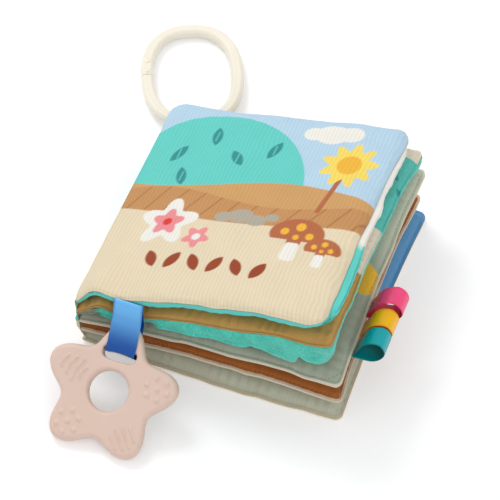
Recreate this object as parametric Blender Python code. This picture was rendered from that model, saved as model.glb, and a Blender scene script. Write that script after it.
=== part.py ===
"""A cloth activity book: five padded leaves hinged at a cloth spine.

Satin loops are sewn into one page, a teether hangs from the cover on a ribbon, and a ring is tied to
the back cover.
"""

from math import cos, hypot, pi, radians, sin, sqrt, tan

import bmesh
import bpy
from mathutils import Matrix, Vector

# Book, metres. +X runs from the spine to the fore-edge, +Y from the front edge to the back edge.
LEAF_W = 0.175
LEAF_L = 0.175
SPINE_STEP = 0.0091
CORNER_R = 0.011
SEAM_FLANGE = 0.0025
CLOTH = 0.0009
PLUSH = 0.0018
SPINE_CLOTH = 0.0012
FILM = 0.0003
GAP = 0.0003
DRAW_IN = 0.0025
BACK_SPREAD = 0.0030
SPINE_INSET = 0.0015
REST_CUT = 0.0005

# Height of the crown of each cloth above the leaf's seam, and how far the edges take to swell to it
COVER_CROWN = 0.0052
COVER_LINING_CROWN = 0.0038
PAGE_CROWN = 0.0042
PLUSH_CROWN = 0.0095
EDGE_SWELL = 0.017
PLUSH_SWELL = 0.006
CROWN_REACH = 0.065
PLUSH_CROWN_REACH = 0.120

# How each leaf's middle surface lies off a plane
COVER_FRONT_BOW = 0.0085
COVER_BACK_BOW = 0.0010
PLUSH_PAGE_BOW = 0.0030
BOW_FULLNESS = 0.7
COVER_TWIST = -0.0054
COVER_TAPER = 0.0040
PLUSH_PAGE_TWIST = -0.0046
TAG_PAGE_TWIST = 0.0060
PLAIN_PAGE_TWIST = 0.0005
BACK_SEAM_DROP = 0.0020
RIPPLE = 0.0009
RIPPLE_WAVES = 3

# Resting slope of each leaf above the table, degrees
FRONT_COVER_SLOPE = 16.6
PLUSH_PAGE_SLOPE = 13.4
TAG_PAGE_SLOPE = 6.8
PLAIN_PAGE_SLOPE = 2.5

# Grid lines of a leaf, as shares of what is left between its rounded corners
ACROSS_SHARES = (0.05, 0.14, 0.27, 0.42, 0.57, 0.72, 0.87)
ALONG_SHARES = (0.17, 0.34, 0.5, 0.66, 0.83)
CORNER_MIDDLE_SHARE = 0.5

# Satin ribbons
SATIN = 0.0006
TUCK_TURN = 60.0
TUCK_STEPS = 3
HANGER_RIBBON_W = 0.0195
HANGER_RIBBON_X = 0.041
HANGER_STUB = 0.0012
HANGER_ROOM = 0.0024
TAG_W = 0.0148
TAG_REACH = 0.0190
TAG_HALF_HEIGHT = 0.0080
TAG_SWELL_FROM = 0.0095
TAG_FIRST_Y = 0.0365
TAG_PITCH = 0.0151
TAG_LIFT = 14.0
TAG_COLOURS = ("teal", "yellow", "pink")
STRAP_W = 0.012
STRAP_REACH = 0.0155
STRAP_X = 0.0070
STRAP_BEND_SHARE = 0.9

# Teether: a five-armed slab with a finger hole and a ribbon slot
TEETHER_MEAN_R = 0.0378
TEETHER_ARM = 0.0070
TEETHER_ARMS = 5
TEETHER_HALF_T = 0.0045
TEETHER_EDGE_R = 0.0035
TEETHER_HOLE_R = 0.013
TEETHER_SLOT_TOP = 0.0262
TEETHER_SLOT_H = 0.0070
TEETHER_SLOT_W = 0.0225
TEETHER_SLACK = 0.0022
TEETHER_LEAN = 30.0
TEETHER_X = 0.0352
TEETHER_Y = -0.0430
TEETHER_SEGMENTS = 60

# Raised domes and ridges on both faces of four of the arms, placed along and across each arm
TEXTURE_RISE = 0.0012
TEXTURE_SINK = 0.0005
TEXTURE_LOOPS = ((1.0, -TEXTURE_SINK), (0.86, TEXTURE_RISE * 0.55), (0.45, TEXTURE_RISE))
DOME_R = 0.0019
RIDGE_R = 0.0008
END_STEPS = 4
DOME_ARMS = (1, 3)
DOME_PLACES = (
    (0.0251, 0.0034),
    (0.0251, -0.0034),
    (0.0316, 0.0070),
    (0.0316, 0.0),
    (0.0316, -0.0070),
    (0.0381, 0.0034),
    (0.0381, -0.0034),
)
CROSS_RIDGE_ARM = 4
CROSS_RIDGES = ((0.0350, 0.0042), (0.0299, 0.0061), (0.0248, 0.0078), (0.0206, 0.0042))
LONG_RIDGE_ARM = 2
LONG_RIDGES = (
    (0.0272, 0.0362, -0.0065),
    (0.0252, 0.0386, -0.0022),
    (0.0252, 0.0386, 0.0022),
    (0.0272, 0.0362, 0.0065),
)

# Ring: a flat squarish oval link, cut once so that it clips on
RING_W = 0.072
RING_L = 0.0955
RING_SQUARENESS = 2.4
RING_STROKE = 0.009
RING_T = 0.008
RING_CHAMFER = 0.0022
RING_CUT = 0.0006
RING_SKEW = 24.0
RING_SEGMENTS = 52

OVERRUN = 0.004

COLOURS = {
    "print_cloth": (0.87, 0.75, 0.58),
    "lining_cloth": (0.10, 0.66, 0.60),
    "ochre_cloth": (0.52, 0.33, 0.14),
    "plush": (0.12, 0.68, 0.58),
    "sage_cloth": (0.42, 0.42, 0.34),
    "brown_cloth": (0.36, 0.14, 0.05),
    "pale_cloth": (0.72, 0.70, 0.62),
    "padding": (0.85, 0.85, 0.83),
    "film": (0.80, 0.82, 0.84),
    "blue_satin": (0.02, 0.19, 0.64),
    "pink_satin": (0.85, 0.04, 0.20),
    "yellow_satin": (0.92, 0.50, 0.02),
    "teal_satin": (0.0, 0.34, 0.37),
    "silicone": (0.72, 0.54, 0.46),
    "ring_plastic": (0.95, 0.93, 0.86),
}
GLOSSY_ROUGHNESS = 0.35
CLOTH_ROUGHNESS = 0.85


class Leaf:
    """One padded leaf: where its spine end hangs, how it slopes, and how far its two cloths swell."""

    def __init__(
        self,
        name,
        slope,
        upper,
        lower,
        bows=(0, 0),
        twist=0,
        taper=0,
        drop=0,
        draw_in=DRAW_IN,
        plush=False,
        rests=False,
    ):
        self.name = name
        self.angle = radians(slope)
        self.upper = upper
        self.lower = lower
        self.bows = bows
        self.twist = twist
        self.taper = taper
        self.drop = drop
        self.draw_in = draw_in
        self.plush = plush
        self.rests = rests
        self.foot = Vector((0, 0, 0))

    @property
    def along(self):
        return Vector((cos(self.angle), 0, sin(self.angle)))

    @property
    def up(self):
        return Vector((-sin(self.angle), 0, cos(self.angle)))

    def swell(self, x, y, side):
        """Half the leaf's inner depth at a point: nothing at the seams, full over the middle."""
        crown = self.upper if side > 0 else self.lower
        fat = self.plush and side < 0
        reach = PLUSH_SWELL if fat else EDGE_SWELL
        share = min(1, max(0, x / (PLUSH_CROWN_REACH if fat else CROWN_REACH)))
        at_spine = SPINE_STEP / 2 - (PLUSH if fat else CLOTH) - GAP
        body = at_spine + (crown - at_spine) * share * share * (3 - 2 * share)
        return GAP / 2 + body * edge_share(seam_distance(x, y), reach)

    def middle(self, x, y):
        """Height of the leaf's middle surface above its own plane."""
        share_x = x / LEAF_W
        share_y = y / LEAF_L
        edge = 1 - edge_share(seam_distance(x, y), EDGE_SWELL)
        ripple = RIPPLE * edge * sin(2 * pi * RIPPLE_WAVES * (share_x + share_y)) * share_x
        bow = self.bows[0] + (self.bows[1] - self.bows[0]) * share_y
        height = bow * max(0, sin(pi * share_x)) ** BOW_FULLNESS
        height += self.twist * (2 * share_y - 1) * share_x * share_x
        if self.rests:
            return height - self.drop * edge
        return height + ripple

    def place(self, x, y, height):
        """World place of a point of the leaf, from its outline place and its height above the middle."""
        share_x = x / LEAF_W
        share_y = y / LEAF_L
        pulled_y = y + self.draw_in * 4 * share_x * (1 - share_x) * (1 - 2 * share_y)
        pulled_x = x - share_x * share_x * (DRAW_IN * 4 * share_y * (1 - share_y) + self.taper * share_y)
        rise = SPINE_STEP / 2 + height
        if self.rests:
            rise = max(rise, 0)
        return self.foot + self.along * pulled_x + self.up * rise + Vector((0, pulled_y, 0))

    def at_seam(self, x, y):
        """World place of a point of the leaf's sewn seam."""
        return self.place(x, y, self.middle(x, y))

    def off_seam(self, x, y, half_x, half_y, way):
        """A place just off the seam, clear of all of it that a ribbon's width spans."""
        seam = self.at_seam(x, y)
        spots = [self.at_seam(x + half_x * side, y + half_y * side) for side in (-1, 0, 1)]
        reach = max(spot.dot(way) for spot in spots)
        return seam + way * (reach - seam.dot(way) + GAP + ribbon_end_r())


def seam_distance(x, y):
    """Distance to the nearest of the three sewn sides, whose outer corners are round."""
    from_fore = LEAF_W - x
    from_side = min(y, LEAF_L - y)
    if from_fore < CORNER_R and from_side < CORNER_R:
        return CORNER_R - hypot(CORNER_R - from_fore, CORNER_R - from_side)
    return min(from_fore, from_side)


def edge_share(distance, reach):
    """A quarter-round rise from the flange to full depth."""
    run = (distance - SEAM_FLANGE) / (reach - SEAM_FLANGE)
    run = min(1, max(0, run))
    return sqrt(1 - (1 - run) ** 2)


def across_lines():
    straight = LEAF_W - CORNER_R
    lines = [SPINE_CLOTH + GAP]
    lines += [straight * share for share in ACROSS_SHARES]
    lines += [straight, straight + CORNER_R * CORNER_MIDDLE_SHARE, LEAF_W - SEAM_FLANGE, LEAF_W]
    return lines


def along_lines():
    straight = LEAF_L - 2 * CORNER_R
    half_corner = CORNER_R * CORNER_MIDDLE_SHARE
    lines = [0, SEAM_FLANGE, half_corner, CORNER_R]
    lines += [CORNER_R + straight * share for share in ALONG_SHARES]
    lines += [LEAF_L - CORNER_R, LEAF_L - half_corner, LEAF_L - SEAM_FLANGE, LEAF_L]
    return lines


def round_corner(x, y):
    """Moves a grid point of a corner square into that corner's quarter disc."""
    a = (x - (LEAF_W - CORNER_R)) / CORNER_R
    low = y < LEAF_L / 2
    b = (CORNER_R - y if low else y - (LEAF_L - CORNER_R)) / CORNER_R
    if a <= 0 or b <= 0:
        return x, y
    new_a = a * sqrt(1 - b * b / 2)
    new_b = b * sqrt(1 - a * a / 2)
    new_x = LEAF_W - CORNER_R + CORNER_R * new_a
    new_y = CORNER_R * (1 - new_b) if low else LEAF_L - CORNER_R * (1 - new_b)
    return new_x, new_y


def material(name):
    found = bpy.data.materials.get(name)
    if found:
        return found
    made = bpy.data.materials.new(name)
    made.use_nodes = True
    shader = made.node_tree.nodes["Principled BSDF"]
    shader.inputs["Base Color"].default_value = (*COLOURS[name], 1)
    glossy = name.endswith("satin") or name == "ring_plastic"
    shader.inputs["Roughness"].default_value = GLOSSY_ROUGHNESS if glossy else CLOTH_ROUGHNESS
    shader.inputs["Metallic"].default_value = 0
    return made


def add_object(name, mesh, slot, parent):
    made = bpy.data.objects.new(name, mesh)
    made.data.materials.append(material(slot))
    bpy.context.scene.collection.objects.link(made)
    made.parent = parent
    return made


def mesh_from(name, points, faces):
    """A mesh whose faces all point out."""
    mesh = bpy.data.meshes.new(name)
    mesh.from_pydata([tuple(p) for p in points], [], faces)
    shape = bmesh.new()
    shape.from_mesh(mesh)
    bmesh.ops.recalc_face_normals(shape, faces=shape.faces)
    shape.to_mesh(mesh)
    shape.free()
    mesh.shade_smooth()
    mesh.set_sharp_from_angle(angle=radians(50))
    return mesh


def layer_mesh(name, grid, low, high):
    """A closed layer over a grid of outline places, between two height functions."""
    rows = len(grid)
    columns = len(grid[0])
    points = [low(x, y) for row in grid for x, y in row]
    points += [high(x, y) for row in grid for x, y in row]
    offset = rows * columns
    faces = []
    for i in range(rows - 1):
        for j in range(columns - 1):
            a = i * columns + j
            b = a + 1
            c = a + columns + 1
            d = a + columns
            faces += [(a, b, c), (a, c, d)]
            faces += [(offset + a, offset + c, offset + b), (offset + a, offset + d, offset + c)]
    rim = [j for j in range(columns)]
    rim += [i * columns + columns - 1 for i in range(1, rows)]
    rim += [(rows - 1) * columns + j for j in range(columns - 2, -1, -1)]
    rim += [i * columns for i in range(rows - 2, 0, -1)]
    for a, b in zip(rim, rim[1:] + rim[:1]):
        faces.append((a, b, offset + b, offset + a))
    return mesh_from(name, points, faces)


def add_layer(leaf, name, slot, low, high, parent, inner=False):
    """One layer of a leaf: low and high give heights above the leaf's middle surface."""
    across = across_lines()
    along = along_lines()
    if inner:
        across = across[1:-2]
        along = along[2:-2]
    grid = [[round_corner(x, y) for y in along] for x in across]

    def at(height):
        return lambda x, y: leaf.place(x, y, leaf.middle(x, y) + height(x, y))

    return add_object(name, layer_mesh(name, grid, at(low), at(high)), slot, parent)


def add_leaf(leaf, upper, lower, parent, film=False):
    """A leaf's two cloths, its padding, its crackling film if it has one, and its strip of spine cloth.

    upper and lower are each a cloth's name and its material.
    """
    upper_name, upper_slot = upper
    lower_name, lower_slot = lower
    under = PLUSH if leaf.plush else CLOTH
    film_depth = FILM + GAP if film else 0

    def top(x, y):
        return leaf.swell(x, y, 1)

    def bottom(x, y):
        return -leaf.swell(x, y, -1)

    add_layer(leaf, upper_name, upper_slot, top, lambda x, y: top(x, y) + CLOTH, parent)
    add_layer(leaf, lower_name, lower_slot, lambda x, y: bottom(x, y) - under, bottom, parent)
    add_layer(
        leaf,
        leaf.name + "_padding",
        "padding",
        lambda x, y: bottom(x, y) + GAP,
        lambda x, y: top(x, y) - GAP - film_depth,
        parent,
        inner=True,
    )
    if film:
        add_layer(
            leaf,
            leaf.name + "_crinkle_film",
            "film",
            lambda x, y: top(x, y) - GAP - FILM,
            lambda x, y: top(x, y) - GAP,
            parent,
            inner=True,
        )
    add_spine_strip(leaf, parent)


def add_spine_strip(leaf, parent):
    """The strip of spine cloth behind one leaf, from its hinge line up to the next one."""
    low = 0 if leaf.rests else GAP / 2
    high = SPINE_STEP - GAP / 2
    corners = []
    for y in (SPINE_INSET, LEAF_L - SPINE_INSET):
        for x, rise in ((0, low), (SPINE_CLOTH, low), (SPINE_CLOTH, high), (0, high)):
            corners.append(leaf.foot + leaf.along * x + leaf.up * rise + Vector((0, y, 0)))
    faces = [(0, 1, 2, 3), (7, 6, 5, 4)]
    faces += [(i, (i + 1) % 4, (i + 1) % 4 + 4, i + 4) for i in range(4)]
    name = leaf.name + "_spine_cloth"
    add_object(name, mesh_from(name, corners, faces), "print_cloth", parent)


def rounded_path(points, radii, steps):
    """An open path through 2D points, whose inner corners are arcs of the given radii."""
    path = [Vector(points[0])]
    for before, corner, after, radius in zip(points, points[1:], points[2:], radii):
        corner = Vector(corner)
        back = (Vector(before) - corner).normalized()
        ahead = (Vector(after) - corner).normalized()
        half = back.angle(ahead) / 2
        run = radius / tan(half)
        centre = corner + (back + ahead).normalized() * (radius / sin(half))
        start = corner + back * run - centre
        turn = start.angle_signed(corner + ahead * run - centre)
        for i in range(steps + 1):
            spin = Matrix.Rotation(-turn * i / steps, 2)
            path.append(centre + spin @ start)
    path.append(Vector(points[-1]))
    return path


def ribbon_end_r():
    """Radius of a ribbon's two plies where they turn in together at a seam."""
    return SATIN + GAP / 2


def tucked(path):
    """The path with its two ends turned in round the seam line, so that it swings clear of the cloth."""
    half = (SATIN + GAP) / 2
    tuck = []
    for i in range(TUCK_STEPS):
        angle = radians(TUCK_TURN) * (1 - i / TUCK_STEPS)
        tuck.append(Vector((-half * sin(angle), half * cos(angle))))
    return tuck + path + [Vector((spot.x, -spot.y)) for spot in reversed(tuck)]


def ribbon_mesh(name, open_path, width, to_world):
    """A flat ribbon of satin whose edge follows a 2D path; to_world takes (path x, path y, across)."""
    path = tucked(open_path)
    points = []
    for i, here in enumerate(path):
        ahead = path[min(i + 1, len(path) - 1)] - path[max(i - 1, 0)]
        side = Vector((-ahead.y, ahead.x)).normalized() * (SATIN / 2)
        for across, offset in ((-1, -1), (1, -1), (1, 1), (-1, 1)):
            spot = here + side * offset
            points.append(to_world(spot.x, spot.y, across * width / 2))
    faces = [(0, 1, 2, 3)]
    for i in range(len(path) - 1):
        base = 4 * i
        for j in range(4):
            k = (j + 1) % 4
            faces.append((base + j, base + 4 + j, base + 4 + k, base + k))
    base = 4 * (len(path) - 1)
    faces.append((base + 3, base + 2, base + 1, base))
    return mesh_from(name, points, faces)


def teether_reach(angle):
    """Radius of the teether's outline, angle measured from the slotted arm."""
    return TEETHER_MEAN_R + TEETHER_ARM * cos(TEETHER_ARMS * angle)


def teether_section(outer):
    """The slab's section from the hole to the outline: two flats joined by rounded edges."""
    soft = TEETHER_EDGE_R * (1 - sqrt(0.5))
    flat = TEETHER_HALF_T - TEETHER_EDGE_R
    near = TEETHER_HOLE_R
    half = [
        (near, flat),
        (near + soft, TEETHER_HALF_T - soft),
        (near + TEETHER_EDGE_R, TEETHER_HALF_T),
        (outer - TEETHER_EDGE_R, TEETHER_HALF_T),
        (outer - soft, TEETHER_HALF_T - soft),
        (outer, flat),
    ]
    return half + [(r, -z) for r, z in reversed(half)]


def add_teether(parent):
    """Lies in a plane leant about X, its slotted arm up the slope and its two low arms on the table."""
    points = []
    count = len(teether_section(TEETHER_MEAN_R))
    for i in range(TEETHER_SEGMENTS):
        angle = 2 * pi * i / TEETHER_SEGMENTS
        for r, z in teether_section(teether_reach(angle)):
            points.append((-r * sin(angle), r * cos(angle), z))
    faces = []
    for i in range(TEETHER_SEGMENTS):
        this = i * count
        following = (i + 1) % TEETHER_SEGMENTS * count
        for j in range(count):
            k = (j + 1) % count
            faces.append((this + j, following + j, following + k, this + k))
    body = add_object("teether", mesh_from("teether", points, faces), "silicone", parent)
    body.location = teether_centre()
    body.rotation_euler = (radians(TEETHER_LEAN), 0, 0)
    cutter = slot_cutter(parent)
    cutter.location = body.location + teether_up() * (TEETHER_SLOT_TOP - TEETHER_SLOT_H / 2)
    cutter.rotation_euler = body.rotation_euler
    cut = body.modifiers.new("ribbon_slot", "BOOLEAN")
    cut.object = cutter
    cut.operation = "DIFFERENCE"
    texture = texture_shapes(parent)
    texture.location = body.location
    texture.rotation_euler = body.rotation_euler
    join = body.modifiers.new("texture", "BOOLEAN")
    join.object = texture
    join.operation = "UNION"
    return body


def rounded_bar(start, end, radius):
    """Outline of a bar with round ends; a disc where the two ends meet."""
    way = (end - start).normalized() if (end - start).length > GAP else Vector((1, 0))
    side = Vector((-way.y, way.x))
    outline = []
    for middle, sign in ((end, 1), (start, -1)):
        for i in range(END_STEPS + 1):
            angle = pi * i / END_STEPS - pi / 2
            outline.append(middle + (way * cos(angle) + side * sin(angle)) * radius * sign)
    if (end - start).length > GAP:
        return outline
    return outline[: END_STEPS] + outline[END_STEPS + 1 : -1]


def add_bump(shape, start, end, radius):
    """One closed dome or ridge that stands out of both faces of the teether."""
    loops = []
    for share, rise in TEXTURE_LOOPS:
        outline = rounded_bar(start, end, radius * share)
        loops.append([shape.verts.new((p.x, p.y, TEETHER_HALF_T + rise)) for p in outline])
    for share, rise in reversed(TEXTURE_LOOPS):
        outline = rounded_bar(start, end, radius * share)
        loops.insert(0, [shape.verts.new((p.x, p.y, -TEETHER_HALF_T - rise)) for p in outline])
    loops[: len(TEXTURE_LOOPS)] = reversed(loops[: len(TEXTURE_LOOPS)])
    count = len(loops[0])
    shape.faces.new(reversed(loops[0]))
    shape.faces.new(loops[-1])
    for low, high in zip(loops, loops[1:]):
        for j in range(count):
            k = (j + 1) % count
            shape.faces.new((low[j], low[k], high[k], high[j]))


def texture_shapes(parent):
    """The domes and ridges of the arms as separate closed shapes in one object."""
    shape = bmesh.new()

    def spot(arm, out, across):
        angle = pi / 2 - 2 * pi * arm / TEETHER_ARMS
        return Vector((cos(angle), sin(angle))) * out + Vector((-sin(angle), cos(angle))) * across

    for arm in DOME_ARMS:
        for out, across in DOME_PLACES:
            middle = spot(arm, out, across)
            add_bump(shape, middle, middle, DOME_R)
    for out, half in CROSS_RIDGES:
        start = spot(CROSS_RIDGE_ARM, out, -half)
        add_bump(shape, start, spot(CROSS_RIDGE_ARM, out, half), RIDGE_R)
    for near, far, across in LONG_RIDGES:
        start = spot(LONG_RIDGE_ARM, near, across)
        add_bump(shape, start, spot(LONG_RIDGE_ARM, far, across), RIDGE_R)
    mesh = bpy.data.meshes.new("teether_texture")
    shape.to_mesh(mesh)
    shape.free()
    made = bpy.data.objects.new("teether_texture", mesh)
    bpy.context.scene.collection.objects.link(made)
    made.parent = parent
    made.hide_render = True
    made.display_type = "WIRE"
    return made


def slot_cutter(parent):
    shape = bmesh.new()
    bmesh.ops.create_cube(shape, size=1)
    size = (TEETHER_SLOT_W, TEETHER_SLOT_H, 2 * TEETHER_HALF_T + 2 * OVERRUN)
    bmesh.ops.scale(shape, vec=size, verts=shape.verts)
    upright = [e for e in shape.edges if abs(e.verts[0].co.z - e.verts[1].co.z) > TEETHER_HALF_T]
    radius = TEETHER_SLOT_H / 3
    bmesh.ops.bevel(shape, geom=upright, offset=radius, segments=3, profile=0.5, affect="EDGES")
    mesh = bpy.data.meshes.new("slot_cutter")
    shape.to_mesh(mesh)
    shape.free()
    cutter = bpy.data.objects.new("slot_cutter", mesh)
    bpy.context.scene.collection.objects.link(cutter)
    cutter.parent = parent
    cutter.hide_render = True
    cutter.display_type = "WIRE"
    return cutter


def teether_up():
    """Unit vector up the teether's own slope."""
    return Vector((0, cos(radians(TEETHER_LEAN)), sin(radians(TEETHER_LEAN))))


def teether_centre():
    """The middle of the finger hole, with the two low arms' rounded ends on the table."""
    lean = radians(TEETHER_LEAN)
    angles = [2 * pi * i / TEETHER_SEGMENTS for i in range(TEETHER_SEGMENTS)]
    low_arm = max(-teether_reach(angle) * cos(angle) for angle in angles) - TEETHER_EDGE_R
    flat = TEETHER_HALF_T - TEETHER_EDGE_R
    height = low_arm * sin(lean) + flat * cos(lean) + TEETHER_EDGE_R + GAP
    return Vector((TEETHER_X, TEETHER_Y, height))


def ribbon_seam(cover):
    """Where the teether's ribbon leaves the cover's front seam."""
    return cover.off_seam(HANGER_RIBBON_X, 0, HANGER_RIBBON_W / 2, 0, Vector((0, -1, 0)))


def tag_way(page):
    """Unit vector in which the tag loops stand out, seen from the front edge."""
    lift = radians(TAG_LIFT)
    return page.along * cos(lift) + page.up * sin(lift)


def tag_seam(page, i):
    """Where one of the tag loops leaves the page's fore-edge seam."""
    return page.off_seam(LEAF_W, TAG_FIRST_Y + TAG_PITCH * i, 0, TAG_W / 2, page.along)


def add_hanger_ribbon(cover, parent):
    """Runs from the cover's front seam over the slotted arm, through the slot and back behind the arm.

    Behind the arm it hangs loose, so that the teether can tip.
    """
    seam = ribbon_seam(cover)
    up = teether_up()
    out = Vector((0, -up.z, up.y))
    away = teether_centre() - seam
    clear = TEETHER_HALF_T + GAP + SATIN / 2
    half = SATIN / 2 + GAP / 2

    def beside(reach, side):
        spot = away + up * reach + out * side
        return (-spot.y, spot.z)

    tip = TEETHER_MEAN_R + TEETHER_ARM
    slot = TEETHER_SLOT_TOP - TEETHER_SLACK - SATIN / 2
    lie = [
        (0, half),
        (HANGER_STUB, half),
        beside(tip + 2 * GAP, clear),
        beside(slot, clear),
        beside(slot, -clear),
        beside(tip + 2 * GAP, -clear - HANGER_ROOM),
        (HANGER_STUB, -half),
        (0, -half),
    ]
    bends = (2 * SATIN, TEETHER_EDGE_R, SATIN + GAP, SATIN + GAP, TEETHER_EDGE_R, SATIN)
    path = rounded_path(lie, bends, 4)
    run = beside(slot, -clear)[0]

    def to_world(x, y, across):
        lean_x = (TEETHER_X - seam.x) * min(1, max(0, x / run))
        return Vector((seam.x + lean_x + across, seam.y - x, seam.z + y))

    mesh = ribbon_mesh("teether_ribbon", path, HANGER_RIBBON_W, to_world)
    return add_object("teether_ribbon", mesh, "blue_satin", parent)


def add_tags(page, parent):
    """Three satin loops sewn side by side into the page's fore-edge seam, leaning up."""
    way = tag_way(page)
    up = Vector((0, -1, 0)).cross(way)
    for i, colour in enumerate(TAG_COLOURS):
        seam = tag_seam(page, i)
        half = SATIN / 2 + GAP / 2
        lie = [
            (0, half),
            (TAG_SWELL_FROM, TAG_HALF_HEIGHT),
            (TAG_REACH, TAG_HALF_HEIGHT),
            (TAG_REACH, -TAG_HALF_HEIGHT),
            (TAG_SWELL_FROM, -TAG_HALF_HEIGHT),
            (0, -half),
        ]
        bend = TAG_HALF_HEIGHT - SATIN / 2
        path = rounded_path(lie, (bend / 2, bend, bend, bend / 2), 5)

        def to_world(x, z, across, seam=seam):
            return seam + way * x + up * z + Vector((0, across, 0))

        name = f"{colour}_tag_loop"
        mesh = ribbon_mesh(name, path, TAG_W, to_world)
        add_object(name, mesh, f"{colour}_satin", parent)


def strap_way():
    """Unit vector on the table from the book to the ring."""
    return Vector((-sin(radians(RING_SKEW)), cos(radians(RING_SKEW)), 0))


def ring_half_sizes():
    """Half the width and half the length of the ring's centre line."""
    return (RING_W - RING_STROKE) / 2, (RING_L - RING_STROKE) / 2


def strap_loop_r():
    """The strap's loop is wide enough for the ring's curved end to turn in it."""
    half_w, half_l = ring_half_sizes()
    end_r = half_w * half_w / half_l - RING_STROKE / 2
    sag = end_r - sqrt(end_r**2 - (STRAP_W / 2) ** 2)
    corner = hypot(RING_STROKE / 2, RING_T / 2 - RING_CHAMFER)
    return corner + sag + GAP + SATIN / 2


def ring_near():
    """Centre of the ring's near end, inside the strap's loop."""
    return STRAP_REACH, strap_loop_r() + SATIN / 2 + GAP


def ring_way():
    """Unit vector along the ring, dipping so that its far end lies on the table."""
    drop = (ring_near()[1] - RING_T / 2 - GAP) / (RING_L - RING_STROKE / 2)
    flat = strap_way() * sqrt(1 - drop * drop)
    return Vector((flat.x, flat.y, -drop))


def strap_seam(back):
    """Where the strap leaves the back cover's seam; its skewed end stays a gap clear of the cloth."""
    skew = radians(RING_SKEW)
    reaches = []
    for side in (-1, 0, 1):
        across = STRAP_W / 2 * side
        reaches.append(back.at_seam(STRAP_X + across * cos(skew), LEAF_L).y - across * sin(skew))
    seam = back.at_seam(STRAP_X, LEAF_L)
    return Vector((seam.x, max(reaches) + GAP + ribbon_end_r(), seam.z))


def ring_near_place(back):
    reach, height = ring_near()
    spot = strap_seam(back) + strap_way() * reach
    return Vector((spot.x, spot.y, height))


def add_strap(back, parent):
    seam = strap_seam(back)
    way = strap_way()
    half = SATIN / 2 + GAP / 2
    loop = strap_loop_r()
    reach, height = ring_near()
    middle = height - seam.z
    lie = [
        (0, half),
        (reach - loop, middle + loop),
        (reach + loop, middle + loop),
        (reach + loop, middle - loop),
        (reach - loop, middle - loop),
        (0, -half),
    ]
    bend = loop * STRAP_BEND_SHARE
    path = rounded_path(lie, (bend / 2, bend, bend, bend / 2), 5)

    def to_world(x, z, across):
        spot = seam + way * x + Vector((way.y, -way.x, 0)) * across
        return Vector((spot.x, spot.y, seam.z + z))

    mesh = ribbon_mesh("ring_strap", path, STRAP_W, to_world)
    return add_object("ring_strap", mesh, "teal_satin", parent)


def ring_line(turn):
    """A place on the ring's centre line, across and along it, and the outward normal there."""
    half_w, half_l = ring_half_sizes()
    across = abs(cos(turn)) ** (2 / RING_SQUARENESS) * (1 if cos(turn) > 0 else -1)
    along = abs(sin(turn)) ** (2 / RING_SQUARENESS) * (1 if sin(turn) > 0 else -1)
    steep = RING_SQUARENESS - 1
    out_x = abs(across) ** steep * (1 if across > 0 else -1) / half_w
    out_y = abs(along) ** steep * (1 if along > 0 else -1) / half_l
    return Vector((half_w * across, half_l * along)), Vector((out_x, out_y)).normalized()


def add_ring(back, parent):
    """A link with a bevelled section, cut once in its left side."""
    half_w, half_l = ring_half_sizes()
    way = ring_way()
    side = Vector((strap_way().y, -strap_way().x, 0))
    up = side.cross(way)
    centre = ring_near_place(back) + way * half_l
    wide = RING_STROKE / 2
    tall = RING_T / 2
    section = []
    for sx, sz in ((1, 1), (-1, 1), (-1, -1), (1, -1)):
        flat_first = (sx * (wide - RING_CHAMFER), sz * tall)
        side_first = (sx * wide, sz * (tall - RING_CHAMFER))
        section += [side_first, flat_first] if sx * sz > 0 else [flat_first, side_first]
    gap_angle = RING_CUT / half_w
    points = []
    for i in range(RING_SEGMENTS + 1):
        turn = pi + gap_angle / 2 + (2 * pi - gap_angle) * i / RING_SEGMENTS
        spot, normal = ring_line(turn)
        for across, z in section:
            place = spot + normal * across
            points.append(centre + side * place.x + way * place.y + up * z)
    count = len(section)
    faces = [tuple(range(count))]
    for i in range(RING_SEGMENTS):
        for j in range(count):
            k = (j + 1) % count
            faces.append((i * count + j, (i + 1) * count + j, (i + 1) * count + k, i * count + k))
    faces.append(tuple(RING_SEGMENTS * count + j for j in reversed(range(count))))
    add_object("clip_ring", mesh_from("clip_ring", points, faces), "ring_plastic", parent)


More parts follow.
